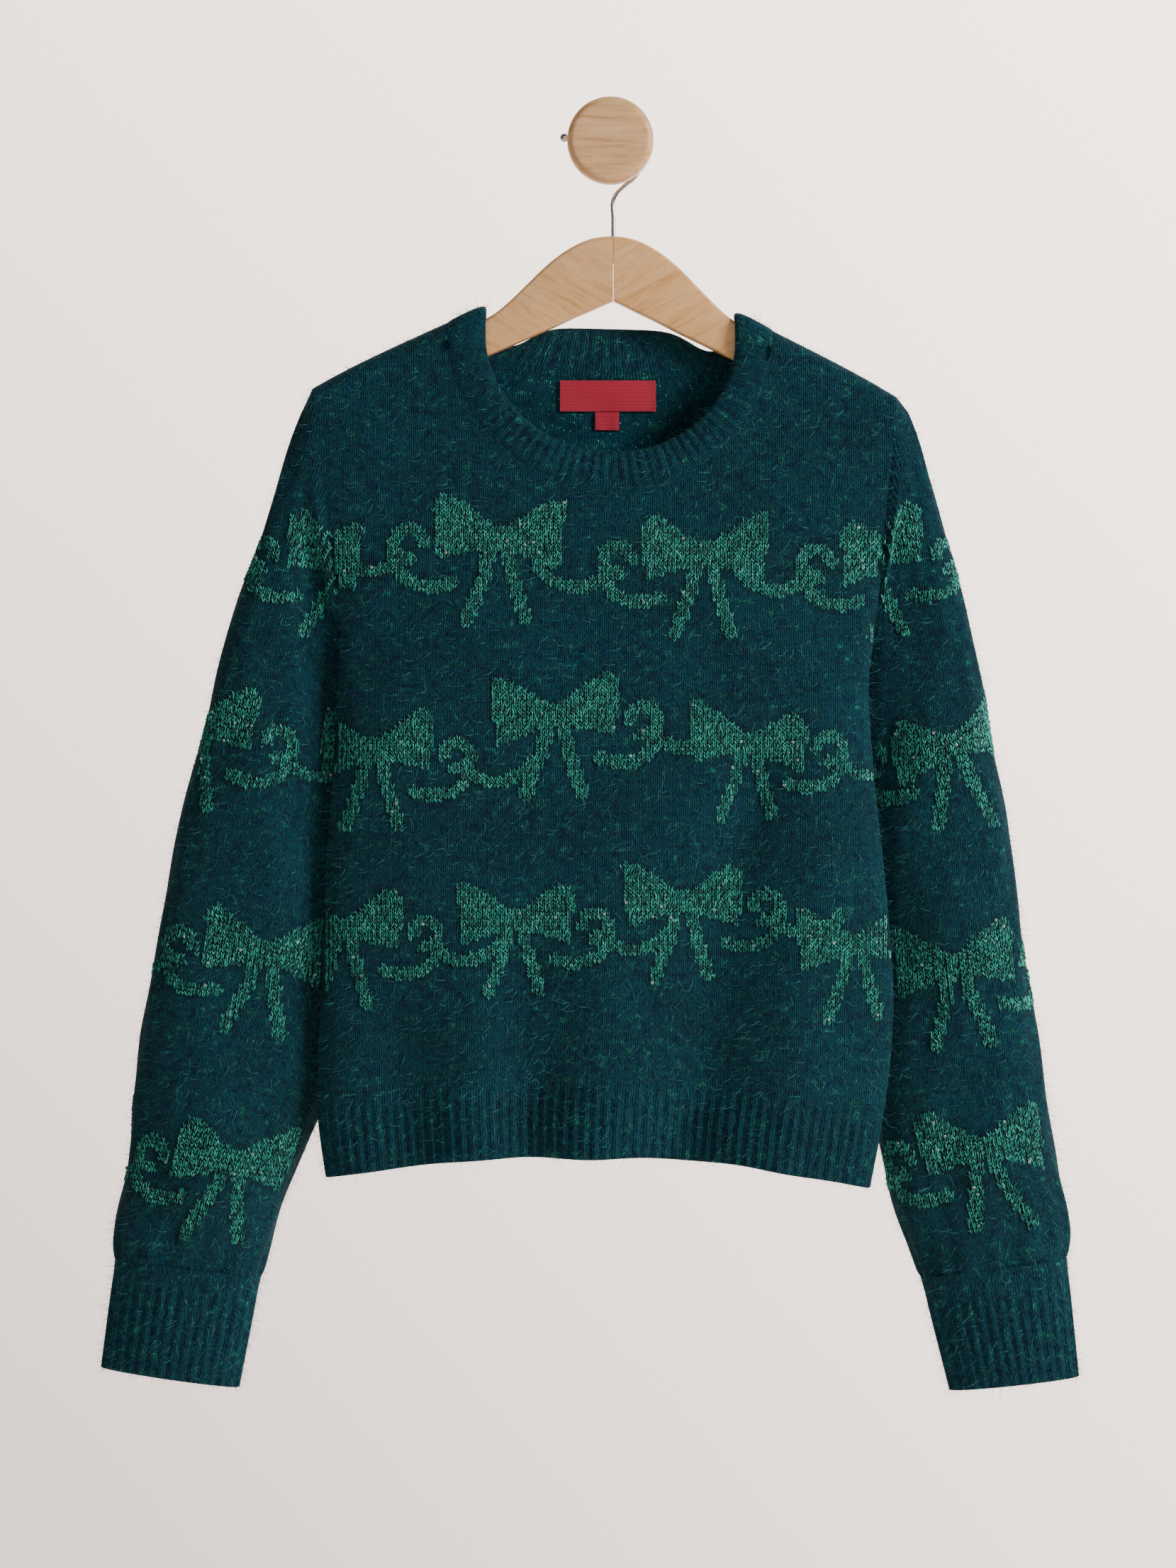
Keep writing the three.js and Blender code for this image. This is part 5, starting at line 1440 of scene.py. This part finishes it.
def hangerArm(name, sign, material):
    stations = np.unique(np.concatenate([np.linspace(hanger["joint"], 172, 70), np.linspace(172, 180, 6)]))
    rings = []
    for d in stations:
        x = hanger["jointX"] + sign * d
        top = float(curveThrough(hanger["d"], hanger["top"], np.array(d))) - body["tilt"] * x
        low = float(curveThrough(hanger["d"], hanger["low"], np.array(d))) - body["tilt"] * x
        half = float(curveThrough(hanger["d"], hanger["thick"], np.array(d)))
        upper, lower = min(hanger["edge"], half - 0.4), hanger["lowEdge"]
        ring = []
        corners = [(half - upper, top - upper, upper, 0), (-half + upper, top - upper, upper, 90),
                   (-half + lower, low + lower, lower, 180), (half - lower, low + lower, lower, 270)]
        for y, z, radius, start in corners:
            for turn in np.radians(np.linspace(start, start + 90, 6)):
                ring.append((x, body["hangerY"] + y + radius * math.cos(turn), z + radius * math.sin(turn)))
        rings.append(ring)
    rings = np.array(rings)
    rows, count = rings.shape[:2]
    r, c = (a.ravel() for a in np.meshgrid(np.arange(rows - 1), np.arange(count), indexing="ij"))
    n = (c + 1) % count
    faces = np.stack([r * count + c, r * count + n, (r + 1) * count + n, (r + 1) * count + c], 1)
    faces = faces if sign > 0 else faces[:, ::-1]
    caps = [list(range(count)), [(rows - 1) * count + i for i in range(count)]]
    caps = [caps[0][::-1], caps[1]] if sign > 0 else [caps[0], caps[1][::-1]]
    mesh = bpy.data.meshes.new(name)
    mesh.from_pydata(rings.reshape(-1, 3) * mm, [], [list(f) for f in faces] + caps)
    mesh.update()
    inside = Vector((0, 0, -0.1))
    volume = sum((mesh.vertices[p.vertices[0]].co - inside).dot(p.normal) * p.area for p in mesh.polygons)
    if volume < 0:
        mesh.flip_normals()
    return newObject(name, mesh, [material])


hangerPieces = {
    "hanger_arm_left": hangerArm("hanger_beech_left", -1, beechShadedLeft),
    "hanger_arm_right": hangerArm("hanger_beech_right", 1, beechLitRight),
}


def meshFromCurve(name, curve, material):
    obj = bpy.data.objects.new(name, curve)
    bpy.context.scene.collection.objects.link(obj)
    bpy.context.view_layer.update()
    mesh = bpy.data.meshes.new_from_object(obj.evaluated_get(bpy.context.evaluated_depsgraph_get()))
    bpy.data.objects.remove(obj)
    mesh.name = name
    mesh.materials.clear()
    return newObject(name, mesh, [material])


# Hook: bent wire with a small ball on its tip
hook = {
    "wire": 1.4, "pegRadius": 11, "gap": 0.3, "loop": 21, "sunk": 18, "shankTop": -36, "woodTop": -61,
    "start": -60, "end": 150, "flare": 4, "flareRun": 8, "ball": 2.9,
}


def hookPiece():
    centreZ = hook["pegRadius"] + hook["gap"] + hook["wire"] - hook["loop"]
    x0 = hanger["jointX"]
    path = [(x0, hook["woodTop"] - hook["sunk"]), (x0, hook["woodTop"]),
        (x0, (hook["woodTop"] + hook["shankTop"]) / 2),
            (x0 + 0.3, hook["shankTop"])]
    for degrees in range(hook["start"], hook["end"] + 1, 15):
        a = math.radians(degrees)
        path.append((hook["loop"] * math.cos(a), centreZ + hook["loop"] * math.sin(a)))
    flare = math.radians(hook["end"])
    turnX = path[-1][0] + hook["flare"] * math.cos(flare)
    turnZ = path[-1][1] + hook["flare"] * math.sin(flare)
    for degrees in (-60, -90, -120):
        a = math.radians(degrees)
        path.append((turnX + hook["flare"] * math.cos(a), turnZ + hook["flare"] * math.sin(a)))
    path.append((path[-1][0] + hook["flareRun"] * math.cos(flare),
        path[-1][1] + hook["flareRun"] * math.sin(flare)))
    curve = bpy.data.curves.new("hook", "CURVE")
    curve.dimensions = "3D"
    curve.bevel_depth = hook["wire"] * mm
    curve.bevel_resolution = 4
    curve.use_fill_caps = True
    curve.resolution_u = 6
    spline = curve.splines.new("BEZIER")
    spline.bezier_points.add(len(path) - 1)
    for point, (x, z) in zip(spline.bezier_points, path):
        point.co = Vector((x, body["hangerY"], z)) * mm
        point.handle_left_type = point.handle_right_type = "AUTO"
    wire = meshFromCurve("hook_wire", curve, nickel)
    tipX, tipZ = path[-1]
    rows, count = 13, 20
    ballPoints, faces = [], []
    for i in range(1, rows):
        a = math.pi * i / rows
        for j in range(count):
            b = 2 * math.pi * j / count
            ballPoints.append((
                (tipX + hook["ball"] * math.sin(a) * math.cos(b)) * mm,
                (body["hangerY"] + hook["ball"] * math.sin(a) * math.sin(b)) * mm,
                (tipZ + hook["ball"] * math.cos(a)) * mm,
            ))
    for i in range(rows - 2):
        for j in range(count):
            k = (j + 1) % count
            faces.append((i * count + j, (i + 1) * count + j, (i + 1) * count + k, i * count + k))
    faces.append(list(range(count)))
    faces.append(list(range((rows - 2) * count, (rows - 1) * count))[::-1])
    mesh = bpy.data.meshes.new("hook_ball")
    mesh.from_pydata(ballPoints, [], faces)
    return wire, newObject("hook_ball", mesh, [nickel])


hookWire, hookBall = hookPiece()

# Peg: a turned stem and a round knob with soft edges

peg = {"stemLength": 38, "stemRadius": 11, "knobRadius": 28.5, "knobThickness": 18, "edge": 5,
    "backEdge": 2.5}


def lathe(name, profile, count, material):  # profile of (radius, y) from the front to the back
    profile = np.array(profile, float)
    turns = np.linspace(0, 2 * math.pi, count, endpoint=False)
    rings = [
        np.stack([r * np.cos(turns), np.full(count, y), r * np.sin(turns)], 1) for r, y in profile[1:-1]
    ]
    points = np.vstack([[(0, profile[0][1], 0)], *rings, [(0, profile[-1][1], 0)]]) * mm
    faces = []
    last = len(points) - 1
    for j in range(count):
        k = (j + 1) % count
        faces.append((0, 1 + j, 1 + k))
        faces.append((last, last - count + k, last - count + j))
        for i in range(len(rings) - 1):
            faces.append((1 + i * count + j, 1 + (i + 1) * count + j, 1 + (i + 1) * count + k,
                1 + i * count + k))
    mesh = bpy.data.meshes.new(name)
    mesh.from_pydata(points, [], faces)
    return newObject(name, mesh, [material])


def pegPieces():
    face = -(peg["stemLength"] + 0.3 + peg["knobThickness"])
    rim, r = peg["knobRadius"], peg["edge"]
    profile = [(0, face - 0.35), (8, face - 0.3), (16, face - 0.15), (rim - r, face)]
    turns = np.radians(np.linspace(9, 90, 9))
    profile += [(rim - r + r * math.sin(a), face + r - r * math.cos(a)) for a in turns]
    backFace, b = -(peg["stemLength"] + 0.3), peg["backEdge"]
    turns = np.radians(np.linspace(0, 90, 6))
    profile += [(rim - b + b * math.cos(a), backFace - b + b * math.sin(a)) for a in turns]
    profile += [(peg["stemRadius"], backFace), (0, backFace)]
    knob = lathe("peg_knob_beech", profile, 96, beechPeg)
    s = peg["stemRadius"]
    stem = lathe(
        "peg_stem_beech",
        [(0, -peg["stemLength"]), (s, -peg["stemLength"]), (s, -20), (s, -1), (s, 0), (0, 0)], 64, beechPeg,
    )
    return knob, stem


knobPiece, stemPiece = pegPieces()
print("hanger, hook and peg made")

# Everything rides on the one body and stands for its solid

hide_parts("front_panel")
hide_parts("back_panel")
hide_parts("hem_rib_front")
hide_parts("hem_rib_back")
for which in ("left", "right"):
    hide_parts("sleeve_" + which)
    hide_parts("cuff_" + which)
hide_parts("neckband")
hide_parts("label_main")
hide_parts("label_size")
for node, piece in hangerPieces.items():
    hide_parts(node)
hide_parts("hanger_hook")
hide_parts("peg_knob")
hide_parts("peg_stem")
made = [
    *cloth, *motifPieces.values(), *sequinPieces.values(), *fuzzPieces.values(), *labels, *labelSewing,
    *hangerPieces.values(), hookWire, hookBall, knobPiece, stemPiece,
]
for piece in made:
    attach(piece, "root")

# Each piece of cloth and each label, with the fibres, stitches and sequins that go with it

motifOf = {"sweater_front": "front", "sweater_back": "back", "sweater_sleeve_left": "sleeve_left",
           "sweater_sleeve_right": "sleeve_right"}
for piece in [*cloth, *labels]:
    goesWith = [fuzzPieces[piece.name]] if piece.name in fuzzPieces else []
    if piece.name in motifOf:
        goesWith += [motifPieces[motifOf[piece.name]], sequinPieces[motifOf[piece.name]]]

# Stage: a plain pale floor, soft light and the camera

studio = {"floorZ": -1.7, "floorRadius": 3.2, "background": "#E9E5E2", "floor": "#DEDAD6"}


def stageFloor():
    mesh = bpy.data.meshes.new("floor")
    count = 96
    ring = [(studio["floorRadius"] * math.cos(2 * math.pi * i / count),
             studio["floorRadius"] * math.sin(2 * math.pi * i / count),
             studio["floorZ"]) for i in range(count)]
    mesh.from_pydata(ring, [], [list(range(count))])
    material, tree = newMaterial("paleFloor")
    place = addNode(tree, "ShaderNodeTexCoord").outputs["Object"]
    cloudy = addNode(tree, "ShaderNodeTexNoise", {"Vector": place, "Scale": 1.5, "Detail": 2.0}).outputs[0]
    ramp = addNode(tree, "ShaderNodeValToRGB", {0: cloudy})
    setRamp(ramp, [(0.2, studio["floor"]), (0.8, studio["background"])])
    shader = addNode(tree, "ShaderNodeBsdfPrincipled", {"Base Color": ramp.outputs[0], "Roughness": 0.85})
    addNode(tree, "ShaderNodeOutputMaterial", {0: shader.outputs[0]})
    floor = newObject("floor", mesh, [material])


stageFloor()


# The room: a bright wall behind the object and a dimmer room in front of it
room = {
    "wall": "#FBE8DE", "wallStrength": 3.1, "front": "#DDE0E2", "frontStrength": 0.16,
    "toTheRight": 1.6, "upward": 1.5,  # how fast the wall gets brighter
}


def paleRoom():
    world = bpy.data.worlds.new("paleRoom")
    bpy.context.scene.world = world
    world.use_nodes = True
    tree = world.node_tree
    tree.nodes.clear()
    way = addNode(tree, "ShaderNodeTexCoord").outputs["Generated"]
    parts = addNode(tree, "ShaderNodeSeparateXYZ", {0: way})
    behind = addNode(
        tree, "ShaderNodeMapRange",
        {"Value": parts.outputs[1], "From Min": 0.1, "From Max": 0.8}, interpolation_type="SMOOTHSTEP",
    ).outputs[0]
    gradient = addNode(
        tree, "ShaderNodeMath", {0: parts.outputs[0], 1: room["toTheRight"], 2: 1.0},
        operation="MULTIPLY_ADD"
    ).outputs[0]
    gradient = addNode(
        tree, "ShaderNodeMath", {0: parts.outputs[2], 1: room["upward"], 2: gradient},
        operation="MULTIPLY_ADD"
    ).outputs[0]
    gradient = addNode(tree, "ShaderNodeClamp", {0: gradient, 1: 0.6, 2: 1.4}).outputs[0]
    strength = addNode(
        tree, "ShaderNodeMath", {0: gradient, 1: room["wallStrength"]}, operation="MULTIPLY"
    ).outputs[0]
    wall = addNode(tree, "ShaderNodeBackground", {"Color": linear(room["wall"]), "Strength": strength})
    frontRoom = addNode(
        tree, "ShaderNodeBackground", {"Color": linear(room["front"]), "Strength": room["frontStrength"]}
    )
    both = addNode(tree, "ShaderNodeMixShader", {0: behind, 1: frontRoom.outputs[0], 2: wall.outputs[0]})
    addNode(tree, "ShaderNodeOutputWorld", {0: both.outputs[0]})


paleRoom()

lamps = {  # place, what it points at, size and power
    "key": ((2.9, -1.6, 0.9), (0, 0, -0.42), 1.0, 150),
    "fill": ((-0.3, -3.4, 1.0), (0, 0, -0.45), 1.2, 15),
}
for lampName, (place, target, size, power) in lamps.items():
    lamp = bpy.data.lights.new(lampName, "AREA")
    lamp.size, lamp.energy = size, power
    lampObject = bpy.data.objects.new(lampName, lamp)
    lampObject.location = place
    lampObject.rotation_euler = (Vector(target) - Vector(place)).to_track_quat("-Z", "Y").to_euler()
    bpy.context.scene.collection.objects.link(lampObject)

shot = {"place": (-0.0148, -3.05, -0.425), "lens": 104.4}
camera = bpy.data.cameras.new("camera")
camera.lens = shot["lens"]
camera.sensor_width = 36
cameraObject = bpy.data.objects.new("camera", camera)
cameraObject.location = shot["place"]
cameraObject.rotation_euler = (math.pi / 2, 0, 0)
bpy.context.scene.collection.objects.link(cameraObject)
bpy.context.scene.camera = cameraObject

print("scene done")
